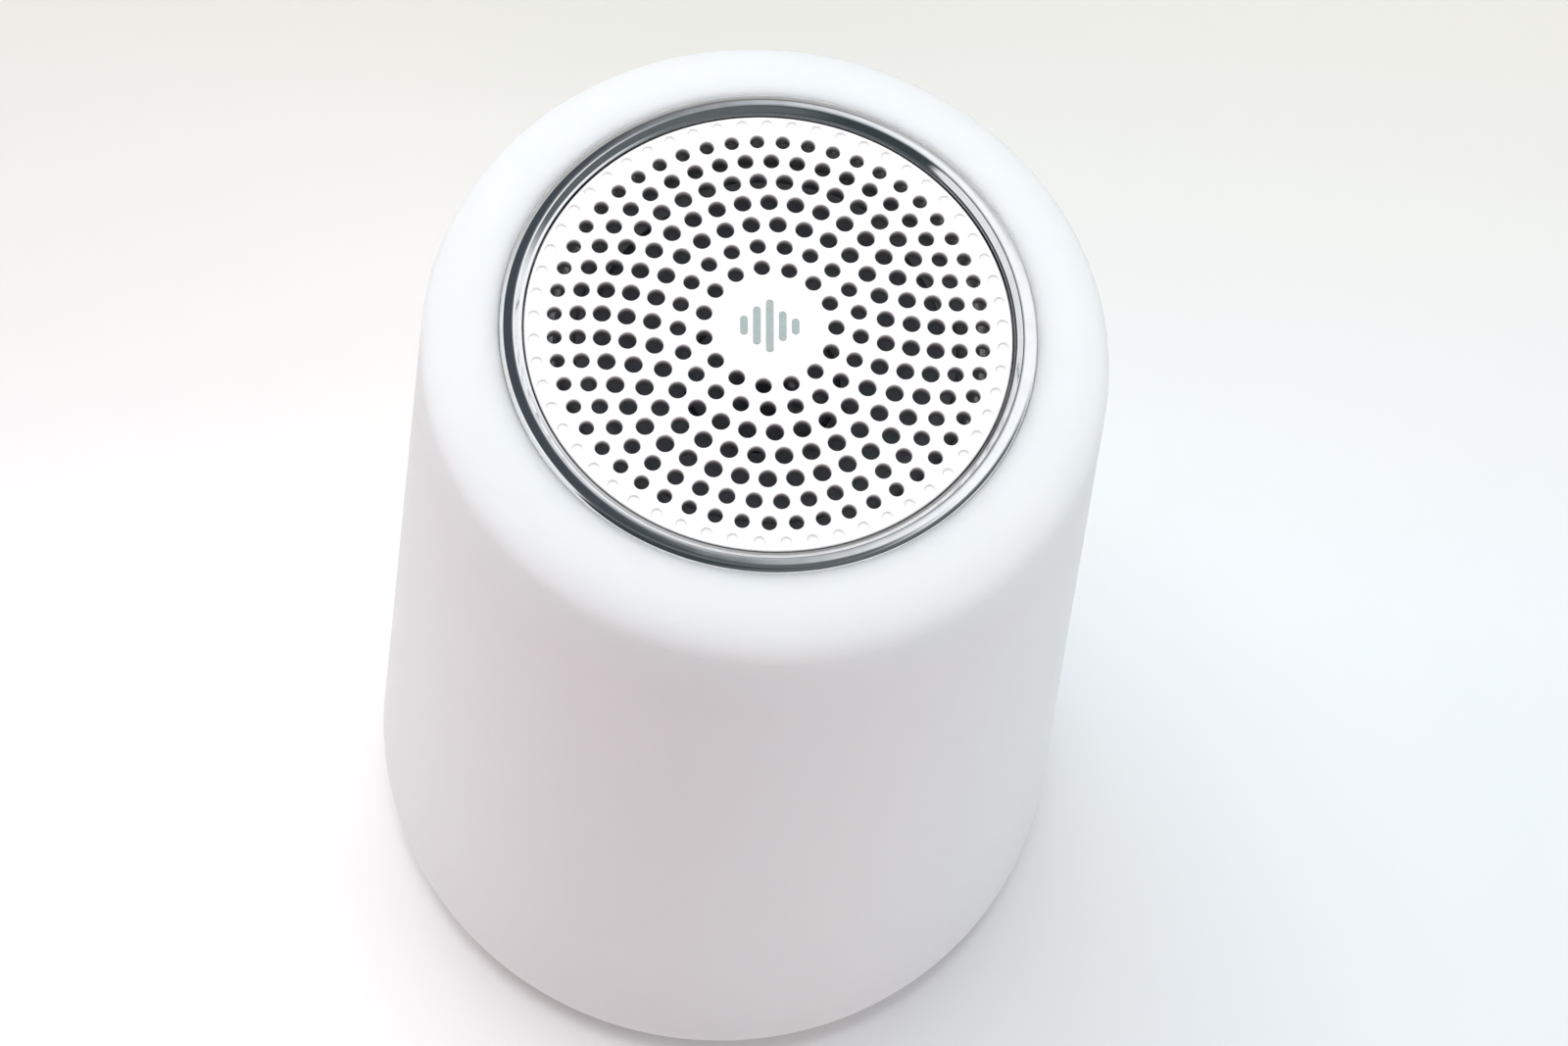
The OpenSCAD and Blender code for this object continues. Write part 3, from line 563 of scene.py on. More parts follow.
def board_look(name, mask, copper):
    """Circuit board: solder mask over routed tracks, with plated vias and a fine weave."""
    look = Look(name, Coat_Weight=0.25, Coat_Roughness=0.2)
    tracks_per_metre = 420
    tracks = look.node("TexBrick", {"Vector": look.scaled(*[tracks_per_metre] * 3), "Scale": 1.0,
                                    "Mortar Size": 0.06, "Mortar Smooth": 0.1,
                                    "Brick Width": 1.7, "Row Height": 0.42},
                       offset=0.37, squash=1.3, squash_frequency=3).outputs["Fac"]
    routed = look.maths("MULTIPLY", tracks, look.remap(look.grain(7), 0, 1, 0.45, 0.55))
    vias = look.remap(look.cells(4.2), 1, 0, 0.08, 0.1)
    lighter = tuple(min(1, c * 1.5 + 0.02) for c in mask)
    look.colour(look.mix(vias, look.mix(routed, mask, lighter), copper))
    look.metal(look.maths("MULTIPLY", vias, 0.9))
    look.rough(look.grain(1.5), 0.28, 0.42)
    look.bump(routed, 0.03).bump(look.grain(0.35, stretch=(1, 1, 4)), 0.006)


def chips_look():
    """Black moulded chip bodies, with the two tall capacitors in aluminium above the chips."""
    look = Look("chip_black")
    board_top = span("board_parts")[0].z
    chip_h = 2.2
    tall = look.maths("GREATER_THAN", look.axis("Z"), board_top + chip_h)
    speck = look.grain(0.12, detail=3)
    black = look.vary(speck, (0.014, 0.014, 0.016), (0.035, 0.035, 0.038))
    look.colour(look.mix(tall, black, (0.62, 0.63, 0.65)))
    look.metal(look.maths("MULTIPLY", tall, 0.9))
    look.rough(look.grain(0.9), 0.38, 0.58)
    look.bump(speck, 0.006)


def cell_look():
    """Shrink-wrapped lithium cell: blue film with pull creases, and bare steel at its ends."""
    low, high = span("battery_cell")
    look = Look("cell_wrap", Coat_Weight=0.3, Coat_Roughness=0.12)
    bare_end = 0.9
    from_middle = look.maths("SUBTRACT", look.axis("X"), (low.x + high.x) / 2)
    bare = look.maths("GREATER_THAN", look.maths("ABSOLUTE", from_middle),
                      (high.x - low.x) / 2 - bare_end)
    creases = look.grain(1.6, detail=3, stretch=(5, 1, 1))
    film = look.vary(creases, (0.022, 0.10, 0.30), (0.04, 0.16, 0.42))
    look.colour(look.mix(bare, film, (0.60, 0.60, 0.58)))
    look.metal(bare)
    look.rough(look.grain(2.4), 0.2, 0.36)
    look.bump(creases, 0.02)


def leads_look():
    """The pair of speaker leads: black insulation on one side of the middle, red on the other."""
    look = Look("wire_mixed")
    right = look.maths("GREATER_THAN", look.axis("X"), 0.0)
    scuffs = look.grain(0.7, detail=4)
    red = look.vary(scuffs, (0.36, 0.012, 0.012), (0.46, 0.025, 0.02))
    black = look.vary(scuffs, (0.010, 0.010, 0.011), (0.022, 0.022, 0.024))
    look.colour(look.mix(right, red, black))
    look.rough(scuffs, 0.32, 0.5)
    look.bump(scuffs, 0.01)


def led_look():
    """White LED packages, whose dished windows hold yellow phosphor under clear resin."""
    board_top = span("led_board")[1].z
    window_low, window_high = board_top + 1.15, board_top + 1.25
    look = Look("led_package")
    dished = look.maths("LESS_THAN", look.axis("Z"), window_high)
    inside = look.maths("GREATER_THAN", look.axis("Z"), window_low)
    grains = look.remap(look.cells(0.18), 1, 0, 0.1, 0.5)
    yellow = look.mix(grains, (0.78, 0.50, 0.03), (0.86, 0.62, 0.10))
    look.colour(look.mix(look.maths("MULTIPLY", dished, inside), (0.82, 0.82, 0.80), yellow))
    look.rough(look.grain(0.5), 0.28, 0.42)
    look.bump(look.grain(0.2), 0.006)


def foam_look():
    """Grey gasket foam with open pores."""
    look = Look("foam")
    pores = look.cells(0.3)
    look.colour(look.vary(pores, (0.30, 0.30, 0.305), (0.55, 0.55, 0.555), 0.1, 0.6))
    look.rough(look.grain(1), 0.85, 0.95)
    look.bump(pores, 0.06)


def ferrite_look():
    """Fired ceramic magnet: charcoal, with grinding marks and small chips."""
    look = Look("ferrite")
    ground = look.grain(1, detail=3, place=look.polar(across=4, along=6, up=0.4))
    chips = look.cells(0.7)
    look.colour(look.vary(ground, (0.030, 0.030, 0.034), (0.065, 0.065, 0.07)))
    look.rough(ground, 0.45, 0.68)
    look.bump(ground, 0.01).bump(look.remap(chips, 0, 1, 0.05, 0.2), 0.015)


def glossy(name, size, detail, low, high, rough, depth, **sockets):
    """A smooth finish whose colour, roughness and ripples follow one noise."""
    look = Look(name, **sockets)
    ripple = look.grain(size, detail)
    look.colour(look.vary(ripple, low, high))
    look.rough(ripple, *rough)
    look.bump(ripple, depth)


def silicone_look(name, colour):
    """Soft silicone, a little dusty."""
    look = Look(name, Subsurface_Weight=0.15, Subsurface_Scale=0.001, Sheen_Weight=0.1)
    dusty = look.grain(1.8, detail=5)
    look.colour(look.vary(dusty, toned(colour, 0.93), colour))
    look.rough(dusty, 0.68, 0.54)
    look.bump(look.grain(0.2), 0.008)


opal_shade_look()
chrome_look()
grille_look()
ink_look("badge_ink", (0.35, 0.405, 0.395))
ink_look("mark_ink", (0.10, 0.105, 0.11))
silicone_look("soft_seal", (0.55, 0.56, 0.57))
moulded("white_inner_plastic", (0.80, 0.80, 0.79), 0.5)
foam_look()
metal("pressed_steel", (0.34, 0.34, 0.35), 0.42)
moulded("black_rubber", (0.130, 0.136, 0.143), 0.5, grain=0.3, spread=0.1)
paper_look()
glossy("dome_gloss", 1.8, 2, (0.100, 0.120, 0.122), (0.124, 0.120, 0.140), (0.24, 0.36), 0.03,
       Coat_Weight=1.0, Coat_Roughness=0.07)
glossy("cone_glue", 1.6, 2, (0.004, 0.004, 0.005), (0.012, 0.011, 0.010), (0.08, 0.2), 0.05,
       Coat_Weight=0.5)
coil_look()
spider_look()
ferrite_look()
metal("zinc_steel", (0.60, 0.61, 0.60), 0.32, grain=(1, 1, 1))
metal("brass_contact", (0.80, 0.62, 0.30), 0.25)
moulded("wire_white", (0.78, 0.78, 0.76), 0.4, grain=0.5, spread=0.06)
leads_look()
board_look("board_white", (0.80, 0.81, 0.80), (0.75, 0.62, 0.34))
led_look()
board_look("board_green", (0.012, 0.075, 0.035), (0.80, 0.62, 0.30))
chips_look()
moulded("black_plastic", (0.018, 0.018, 0.020), 0.45, grain=0.2)
cell_look()
metal("screw_steel", (0.56, 0.57, 0.58), 0.28, grain=(1, 1, 1))
moulded("key_grey", (0.52, 0.53, 0.54), 0.45, grain=0.12, depth=0.004)
glossy("clear_plastic", 0.6, 3, (0.82, 0.90, 0.95), (0.93, 0.97, 0.99), (0.08, 0.2), 0.004,
       Transmission_Weight=0.85, IOR=1.49)
moulded("base_white", (0.93, 0.925, 0.92), 0.2, grain=0.5, depth=0.003, spread=0.05,
        Coat_Weight=1.0, Coat_Roughness=0.06, Coat_IOR=1.6)
silicone_look("foot_silicone", (0.60, 0.60, 0.60))


# ---- shade ----

def shade_side_r(z):
    """Outer radius of the shade's side at a height."""
    top = SHADE_HIGH.z - SHOULDER_H
    return SHOULDER_R + (top - z) * (SHADE_HIGH.x - SHOULDER_R) / (top - SHADE_LOW.z)


def shade_outline(rows):
    """Closed half outline of the shade. Its outer and inner sides have a point at each row."""
    top = SHADE_HIGH.z
    shoulder_z = top - SHOULDER_H
    shoulder_w = SHOULDER_R - RING_R
    flare = (SHADE_HIGH.x - SHOULDER_R) / (shoulder_z - SHADE_LOW.z)
    meet = degrees(atan2(flare * SHOULDER_H, shoulder_w))
    meet_in = degrees(atan2(flare * (SHOULDER_H - SHADE_WALL), shoulder_w - SHADE_WALL))
    seat_z = top - SHADE_SEAT_DROP
    seat_r = RING_R + 0.1
    foot_r = shade_side_r(SHADE_LOW.z)
    outer = arc(RING_R, shoulder_z, shoulder_w, SHOULDER_H, 89, meet, 40)
    inner = arc(RING_R, shoulder_z, shoulder_w - SHADE_WALL, SHOULDER_H - SHADE_WALL,
                meet_in, 90, 24)
    return fillet([(SHADE_HOLE_R, top - SHADE_WALL, 0.1), (SHADE_HOLE_R, seat_z, 0.1),
                   (seat_r, seat_z, 0.05), (seat_r, top, 0.12), *outer,
                   *((shade_side_r(z), z) for z in reversed(rows)),
                   (foot_r, SHADE_LOW.z, 0.7), (foot_r - SHADE_WALL, SHADE_LOW.z, 0.5),
                   *((shade_side_r(z) - SHADE_WALL, z) for z in rows), *inner])


def inside_round_rect(x, z, width, height, radius):
    """Whether a point lies inside a rectangle with round corners about the origin."""
    dx = max(abs(x) - (width / 2 - radius), 0)
    dz = max(abs(z) - (height / 2 - radius), 0)
    return hypot(dx, dz) < radius


def make_shade():
    """The opal shell, turned in one piece apart from a patch around the rear window."""
    columns = 240
    half_patch = 20
    margin = 0.6
    row_low, row_high, row_count = 9.2, 30.0, 14
    rows = [row_low + (row_high - row_low) * k / (row_count - 1) for k in range(row_count)]
    shell = Shell()
    outline = shade_outline(rows)
    turn = 2 * pi / columns
    grid = [shell.add([(p.x * sin(j * turn), p.x * cos(j * turn), p.y) for j in range(columns)])
            for p in outline]
    top_z = span("port_panel")[1].z + WINDOW_TOP_GAP
    low_z = SHADE_LOW.z + WINDOW_BAND
    width = 2 * (span("port_panel")[1].x + WINDOW_TOP_GAP)
    height = top_z - low_z
    middle_z = (top_z + low_z) / 2
    edge = 0.35

    def row_of(r, z):
        return min(range(len(outline)), key=lambda i: (outline[i] - Vector((r, z))).length)

    sides = []
    for inset in (0, SHADE_WALL):
        ends = [row_of(shade_side_r(z) - inset, z) for z in (rows[0], rows[-1])]
        sides.append((inset, min(ends), max(ends)))
    patched = {i for _, first, last in sides for i in range(first, last)}
    for i in range(len(outline)):
        for j in range(columns):
            in_patch = i in patched and (j < half_patch or j >= columns - half_patch)
            if not in_patch:
                a, b = grid[i], grid[(i + 1) % len(outline)]
                n = (j + 1) % columns
                shell.faces.append((a[j], a[n], b[n], b[j]))

    def window_ring(inset, grow, depth):
        points = []
        for p in round_rect(width, height, WINDOW_CORNER, grow, across=30, up=8):
            z = p.y + middle_z
            r = shade_side_r(z) - inset
            points.append((p.x, sqrt(r * r - p.x * p.x) + depth, z))
        return shell.add(points)

    outer = [window_ring(0, grow, -depth) for grow, depth in round_edge(edge)]
    inner = [window_ring(SHADE_WALL, grow, depth) for grow, depth in round_edge(edge)]
    shell.rings(outer + inner[::-1])

    window = (width + 2 * edge, height + 2 * edge, WINDOW_CORNER + edge)
    clear = (window[0] + margin, window[1] + margin, window[2])
    sweep = range(-half_patch, half_patch + 1)
    for (inset, first, last), ring in zip(sides, (outer[0], inner[0])):
        numbers = []
        for i in range(first, last + 1):
            for j in sweep:
                p = shell.points[grid[i][j % columns]]
                if not inside_round_rect(p.x, p.z - middle_z, *clear):
                    numbers.append(grid[i][j % columns])
        loop_start = len(numbers)
        numbers += ring
        flat = []
        for n in numbers:
            p = shell.points[n]
            flat.append(Vector((atan2(p.x, p.y) * shade_side_r(middle_z), p.z)))
        loop = [(loop_start + k, loop_start + (k + 1) % len(ring)) for k in range(len(ring))]
        rim = [grid[first][j % columns] for j in sweep]
        rim += [grid[i][half_patch] for i in range(first + 1, last)]
        rim += [grid[last][j % columns] for j in reversed(sweep)]
        rim += [grid[i][-half_patch] for i in range(last - 1, first, -1)]
        order = {n: k for k, n in enumerate(numbers)}
        loop += [(order[a], order[b]) for a, b in zip(rim, rim[1:] + rim[:1])]
        inside_loops = 1
        triangles = geometry.delaunay_2d_cdt(flat, loop, [], inside_loops, SNAP)[2]
        for t in triangles:
            at = sum((shell.points[numbers[k]] for k in t), Vector()) / 3
            if not inside_round_rect(at.x, at.z - middle_z, *window):
                shell.faces.append(tuple(numbers[k] for k in t))
    piece("shade_shell", shell, BODY, "opal_shade", ["shade"])


# ---- chrome ring, grille and badge ----

def make_trim_ring():
    """Chrome ring: a round shoulder, a narrow flat top, a slope to the grille and a sleeve."""
    low, high = span("trim_ring")
    spring_z = GRILLE_Z + RING_SHOULDER_UP
    seat_z = SHADE_HIGH.z - SHADE_SEAT_DROP
    sleeve_r = RING_HOLE_R + RING_SLEEVE_W
    dish = 0.012
    shoulder = arc(RING_FLAT_R, spring_z, RING_R - RING_FLAT_R, high.z - spring_z, 0, 90, 32)
    outline = fillet([(RING_HOLE_R, low.z, 0.1), (sleeve_r, low.z, 0.1), (sleeve_r, seat_z, 0.05),
                      (RING_R, seat_z, 0.1), *shoulder,
                      ((RING_FLAT_R + RING_SLOPE_R) / 2, high.z - dish / 2),
                      (RING_SLOPE_R, high.z - dish, 0.3),
                      (RING_HOLE_R + RING_LIP, GRILLE_Z + RING_LIP_UP, 0.5),
                      (RING_HOLE_R, GRILLE_Z + RING_LIP_UP / 2, 0.05)])
    turned_piece("chrome_ring", outline, 360, BODY, "chrome_trim", ["trim_ring"])


def ring_places(ring, ring_r, size, turn):
    """Centre and radius of each hole or dimple in a ring, counted from the innermost one."""
    count = FIRST_RING_HOLES + ring * HOLES_PER_STEP
    return [(p.x, p.y, size / 2) for p in circle(0, 0, ring_r, count, turn)]


def make_grille():
    """Perforated disc: 231 open holes with round edges, 57 blind dimples and a skirt."""
    hole_edge = 0.17
    dimple_edge = 0.03
    bowl = [(1.0, 0.12), (0.97, 0.4), (0.88, 0.7), (0.72, 0.88), (0.5, 0.97), (0.2, 1.0)]
    rim_edge = 0.2
    rim_chamfer = 0.1
    around_hole, around_dimple, around_rim, around_skirt = 28, 22, 288, 144
    shell = Shell()
    flat = []
    loops = []

    def loop_in_plane(points):
        first = len(flat)
        flat.extend(points)
        count = len(points)
        loops.extend((first + k, first + (k + 1) % count) for k in range(count))
        return range(first, first + count)

    rim = loop_in_plane(circle(0, 0, GRILLE_R - rim_edge, around_rim))
    open_rings = enumerate(zip(HOLE_RINGS, HOLE_SIZES, HOLE_TURNS))
    holes = [((x, y, r), loop_in_plane(circle(x, y, r + hole_edge, around_hole)))
             for i, ring in open_rings for x, y, r in ring_places(i, *ring)]
    dimple_ring = ring_places(len(HOLE_RINGS), DIMPLE_RING_R, DIMPLE_D, DIMPLE_TURN)
    dimples = [((x, y, r), loop_in_plane(circle(x, y, r + dimple_edge, around_dimple)))
               for x, y, r in dimple_ring]
    finder = kdtree.KDTree(len(holes) + len(dimples))
    for k, ((x, y, _), _) in enumerate(holes + dimples):
        finder.insert((x, y, 0), k)
    finder.balance()
    just_inside = 0.992
    reach = [(h[2] + hole_edge) * just_inside for h, _ in holes]
    reach += [(d[2] + dimple_edge) * just_inside for d, _ in dimples]
    whole_plane = 0
    triangles = geometry.delaunay_2d_cdt(flat, loops, [], whole_plane, SNAP)[2]

    bottom_z = GRILLE_Z - GRILLE_T
    top = shell.add([(p.x, p.y, GRILLE_Z) for p in flat])
    bottom = shell.add([(p.x, p.y, bottom_z) for p in flat])
    for t in triangles:
        at = sum((flat[k] for k in t), Vector((0, 0))) / 3
        _, nearest, distance = finder.find((at.x, at.y, 0))
        solid = distance >= reach[nearest]
        if solid or nearest >= len(holes):
            shell.faces.append(tuple(bottom[k] for k in reversed(t)))
        if solid:
            shell.faces.append(tuple(top[k] for k in t))

    def level(x, y, r, z, steps):
        """A ring of vertices at a height."""
        return shell.add([(p.x, p.y, z) for p in circle(x, y, r, steps)])

    over = round_edge(hole_edge)
    for (x, y, r), loop in holes:
        rings = [[top[k] for k in loop]]
        rings += [level(x, y, r + grow, GRILLE_Z - depth, around_hole) for grow, depth in over[1:]]
        rings += [level(x, y, r + grow, bottom_z + depth, around_hole)
                  for grow, depth in over[:0:-2]]
        shell.rings(rings + [[bottom[k] for k in loop]])
    for (x, y, r), loop in dimples:
        rings = [[top[k] for k in loop]]
        rings += [level(x, y, r * wide, GRILLE_Z - DIMPLE_DEPTH * deep, around_dimple)
                  for wide, deep in bowl]
        shell.rings(rings)
        shell.faces.append(tuple(rings[-1]))
    rings = [[top[k] for k in rim]]
    rings += [level(0, 0, GRILLE_R - inset, GRILLE_Z - depth, around_rim)
              for inset, depth in round_edge(rim_edge)[1:]]
    rings += [level(0, 0, GRILLE_R, bottom_z + rim_chamfer, around_rim), [bottom[k] for k in rim]]
    shell.rings(rings)
    skirt_z = span("grille")[0].z
    skirt_r = 27.75
    skirt_w = 0.9
    overlap = 0.2
    shell.lathe(fillet([(skirt_r - skirt_w, skirt_z, 0.2), (skirt_r, skirt_z, 0.2),
                        (skirt_r, bottom_z + overlap), (skirt_r - skirt_w, bottom_z + overlap)]),
                around_skirt)
    piece("grille_plate", shell, BODY, "grille_white", ["grille"])


def make_badge():
    """Generic sound-level mark, printed on the middle of the grille."""
    low, high = span("badge")
    heights = [0.36, 0.72, 1.0, 0.56, 0.3]
    bar_share = 0.6
    sunk = 0.03
    pitch = (high.y - low.y) / (len(heights) - 1 + bar_share)
    width = pitch * bar_share
    shell = Shell()
    for i, share in enumerate(heights):
        x = (i - (len(heights) - 1) / 2) * pitch
        bar = round_rect(width, (high.y - low.y) * share, width / 2 - 0.01, steps=10)
        shell.prism([p + Vector((x, 0)) for p in bar], low.z - sunk, high.z, edge=0.03, steps=2)
    piece("sound_level_mark", shell, BODY, "badge_ink", ["badge"])


# ---- driver ----

def make_driver():
    """The parts that show through the holes: cone, dust cap with its glue, and surround."""
    cone_low, cone_high = span("speaker_cone")
    cap_low, cap_high = span("dust_cap")
    roll_low, roll_high = span("surround")
    coil_r = span("voice_coil")[1].x
    paper = 0.5
    bow = 0.8
    ribs, rib_h = 7, 0.12
    steps = 40
    rise = cone_high.z - cone_low.z - paper

    def cone_at(share):
        """Radius and height on the cone's face, from the coil outwards."""
        rib = rib_h * sin(share * pi * ribs) ** 8
        return (coil_r + (cone_high.x - coil_r) * share,
                cone_low.z + paper + rise * share + (rib - bow) * sin(pi * share))

    face = [cone_at(k / steps) for k in range(steps + 1)]
    back = [(r, max(z - paper, cone_low.z)) for r, z in reversed(face)]
    turned_piece("cone", face + back, 240, CONE_BODY, "cone_paper", ["speaker_cone"])

    cap_r = cap_high.x
    cap_h = cap_high.z - cap_low.z
    wall = 0.4
    dome = arc(0, cap_low.z, cap_r, cap_h, 0, 90, 28)
    dome += arc(0, cap_low.z, cap_r - wall, cap_h - wall, 90, 0, 28)
    turned_piece("dome", dome, 160, CONE_BODY, "cone_paper", ["dust_cap"], look="dome_gloss")
    bead = circle(cap_r + 0.05, cap_low.z + 0.22, 0.32, 14)
    turned_piece("cone_glue_bead", bead, 200, CONE_BODY, "cone_paper", look="cone_glue")

    skin = 0.4
    land_low = roll_low.z
    land_high = land_low + skin
    land_in = cone_high.x - 0.6
    roll_in = cone_high.x + 0.9
    land_out = roll_in - 0.05
    roll_out = 25.9
    mid = (roll_in + roll_out) / 2
    roll = (roll_out - roll_in) / 2
    over = arc(mid, land_low, roll, roll, 180, 0, 30)
    over = [p for p in over if p.x < mid or p.y > land_high]
    under = arc(mid, land_low, roll - skin, roll - skin, 0, 180, 30)
    turned_piece("surround_roll", [*over, (roll_high.x, land_high), (roll_high.x, land_low), *under],
                 240, BODY, "black_rubber", ["surround"])
    # The land is a piece of its own, because it rides with the cone.
    turned_piece("surround_land", [(land_in, land_low), (land_in, land_high),
                                   (land_out, land_high), (land_out, land_low)],
                 240, CONE_BODY, "black_rubber")


# ---- rear keys and feet ----

KEYS = {
    "volume_down_key": ("volume_down_button", "minus"),
    "mode_key": ("mode_button", "ring"),
    "volume_up_key": ("volume_up_button", "plus"),
}


def mark_outline(kind):
    """Outline of a generic key mark: a minus, a plus or the outside of a ring."""
    long, thin = 0.8, 0.15
    if kind == "minus":
        return round_rect(2 * long, 2 * thin, thin - 0.01)
    if kind == "ring":
        return circle(0, 0, long, 48)
    arm = [(long, -thin), (long, thin), (thin, thin, 0)]
    turned = [(1, 0), (0, 1), (-1, 0), (0, -1)]
    return fillet([(x * c - y * s, x * s + y * c, *keep) for c, s in turned for x, y, *keep in arm],
                  thin - 0.02)


def make_key(node, body, kind):
    """A rear key: a crowned cap, the flange behind the panel, its stem and a printed mark."""
    low, high = span(node)
    centre = (low + high) / 2
    panel_face = 50.4
    wall = 2.0
    gap = 0.2
    flange_t = 0.8
    flange = 0.7
    stem_r = 1.2
    crown = 0.14
    print_t = 0.03
    ring_hole = 0.68
    width, height = high.x - low.x, high.z - low.z
    cap_h = height - 2 * flange
    cap = round_rect(width - 2 * flange, cap_h, cap_h / 2 - 0.01, steps=12)
    back = panel_face - wall - gap
    face = high.y - print_t
    place = facing_back(centre.x, centre.z)
    shell = Shell()
    shell.prism(cap, back - 0.1, face - crown, edge=0.45, crown=crown, steps=5, place=place)
    shell.prism(round_rect(width, height, cap_h / 2, steps=10), back - flange_t, back,
                edge=0.12, place=place)
    shell.prism(circle(0, 0, stem_r, 32), low.y, back - flange_t + 0.05, place=place)
    piece(node + "_cap", shell, body, "key_grey", [node])
    mark = Shell()
    outline = mark_outline(kind)
    if kind == "ring":
        sunk = face - crown * 0.6
        walls = ((1, sunk), (1, high.y), (ring_hole, high.y), (ring_hole, sunk))
        mark.rings([mark.add([place @ Vector((p.x * share, p.y * share, z)) for p in outline])
                    for share, z in walls], closed=True)
    else:
        mark.prism(outline, face - crown, high.y, edge=0.01, steps=1, place=place)
    piece(node + "_mark", mark, body, "badge_ink", look="mark_ink")


def make_base():
    """The turned plinth with its spigot, open at the rear panel, and its screw bosses."""
    low, high = span("base_housing")
    plinth_r = high.x
    inner_r = plinth_r - PLINTH_WALL
    top = SHADE_LOW.z
    spigot_in_r = SPIGOT_R - SPIGOT_WALL
    panel_gap = 0.2
    overlap = 0.2
    shell = Shell()
    shell.lathe(fillet([(inner_r, low.z, 0.2), (plinth_r, low.z, 1.2), (plinth_r, top, 0.45),
                        (spigot_in_r, top), (spigot_in_r, top - 2), (inner_r, top - 3.4)],
                       steps=7), 300)
    opening = degrees(atan2(span("port_panel")[1].x + panel_gap, spigot_in_r))
    steps = 180
    sections = []
    section = fillet([(spigot_in_r, top - overlap), (SPIGOT_R, top - overlap),
                      (SPIGOT_R, high.z, 0.3), (spigot_in_r, high.z, 0.3)], steps=3)
    for k in range(steps + 1):
        a = radians(opening + (360 - 2 * opening) * k / steps)
        sections.append(shell.add([(p.x * sin(a), p.x * cos(a), p.y) for p in section]))
    shell.rings(sections)
    shell.faces += [tuple(sections[0]), tuple(sections[-1])]
    boss_z = low.z + COVER_T
    for turn in BOSS_TURNS:
        place = Matrix.Rotation(radians(turn), 4, "Z") @ Matrix.Translation((BOSS_RING_R, 0, 0))
        shell.prism(circle(0, 0, BOSS_R, 40), boss_z, high.z, edge=0.15, place=place)
        rib = [p + Vector((BOSS_R + 0.4, 0)) for p in round_rect(1.6, 2, 0.15)]
        shell.prism(rib, boss_z, high.z, place=place)
    piece("plinth", shell, BODY, "base_white", ["base_housing"])


def make_foot_ring():
    """Silicone foot with fine grip grooves in its sole."""
    low, high = span("foot_ring")
    width = 6
    inner_r = high.x - width
    ridges = 6
    groove_w = 0.35
    groove_z = low.z + 0.3
    corners = [(inner_r, high.z, 0.1), (inner_r, low.z, 0.35)]
    for k in range(1, ridges):
        r = inner_r + width * k / ridges
        corners += [(r - groove_w / 2, low.z, 0.08), (r - groove_w / 4, groove_z, 0.05),
                    (r + groove_w / 4, groove_z, 0.05), (r + groove_w / 2, low.z, 0.08)]
    corners += [(high.x, low.z, 0.35), (high.x, high.z, 0.1)]
    turned_piece("foot_sole", fillet(corners, steps=3), 200, BODY, "foot_silicone", ["foot_ring"])


# CAD nodes that keep their shape, by material slot, with their edge rounding in millimetres.
KEPT_NODES = {
    "soft_seal": {"ring_seal": 0.05},
    "white_inner_plastic": {"chamber": 0.15, "column": 0.15, "core_cover": 0.15},
    "foam": {"speaker_gasket": 0.1},
    "pressed_steel": {"speaker_frame": 0.08},
    "copper_wire": {"voice_coil": 0.05},
    "spider_cloth": {"spider": 0},
    "ferrite": {"magnet": 0.3},
    "zinc_steel": {"front_plate": 0.15, "yoke": 0.2, "battery_tabs": 0.03, "usb_socket": 0.05,
        "card_slot": 0.04, "power_switch": 0.08, "key_switches": 0.08},
    "brass_contact": {"touch_contact": 0.05},
    "wire_white": {"touch_lead": 0},
    "wire_mixed": {"speaker_leads": 0},
    "screw_steel": {"column_screws": 0.08, "chamber_screws": 0.08, "led_board_screws": 0.08,
        "core_screws": 0.08, "board_screws": 0.08, "bottom_screws": 0.08},
    "board_white": {"led_board": 0.05},
    "led_package": {"leds": 0.08},
    "black_plastic": {"battery_cradle": 0.12, "audio_jack": 0.1, "power_knob": 0.08},
    "cell_wrap": {"battery_cell": 0.4},
    "board_green": {"main_board": 0.05, "key_board": 0.05},
    "chip_black": {"board_parts": 0.08},
    "clear_plastic": {"light_pipe": 0.15},
    "base_white": {"port_panel": 0.12, "bottom_cover": 0.12},
}


# ---- stage, light and camera ----

def make_floor():
    """Pale glossy table top, far wider than the view, with painted light and shade across it."""
    look = Look("table_top", Coat_Weight=0.3, Coat_Roughness=0.06)
    cloud = look.grain(60)
    left, right = -60, 82
    near, far = 22, 145
    # Painted light and shade: lighter on the left, darker and cooler to the right, and darker and
    # warmer towards the back; the cloud is random tone.
    pale = look.vary(look.axis("X"), (0.925, 0.92, 0.92), (0.765, 0.82, 0.845), left, right)
    pale = look.mix(look.remap(cloud, 0, 0.12), pale, (0.86, 0.86, 0.855))
    look.colour(look.vary(look.axis("Y"), pale, (0.735, 0.735, 0.69), near, far))
    look.rough(look.grain(8, detail=3), 0.17, 0.25)
    half = 4
    mesh = bpy.data.meshes.new("table_top")
    mesh.from_pydata([(-half, -half, 0), (half, -half, 0), (half, half, 0), (-half, half, 0)], [],
                     [(0, 1, 2, 3)])
    mesh.materials.append(look.material)
    floor = add_object("table_top", mesh)


def soft_box(name, place, size, power, colour):
    """A round area light that points at the middle of the speaker and leaves no reflection."""
    lamp = bpy.data.lights.new(name, "AREA")
    lamp.shape = "DISK"
    lamp.size = size
    lamp.energy = power
    lamp.color = colour
    thing = add_object(name, lamp)
    thing.location = place
    aim = Vector((0, 0, GRILLE_Z * MM / 2)) - thing.location
    thing.rotation_euler = aim.to_track_quat("-Z", "Y").to_euler()
    thing.visible_glossy = False
    thing.visible_camera = False


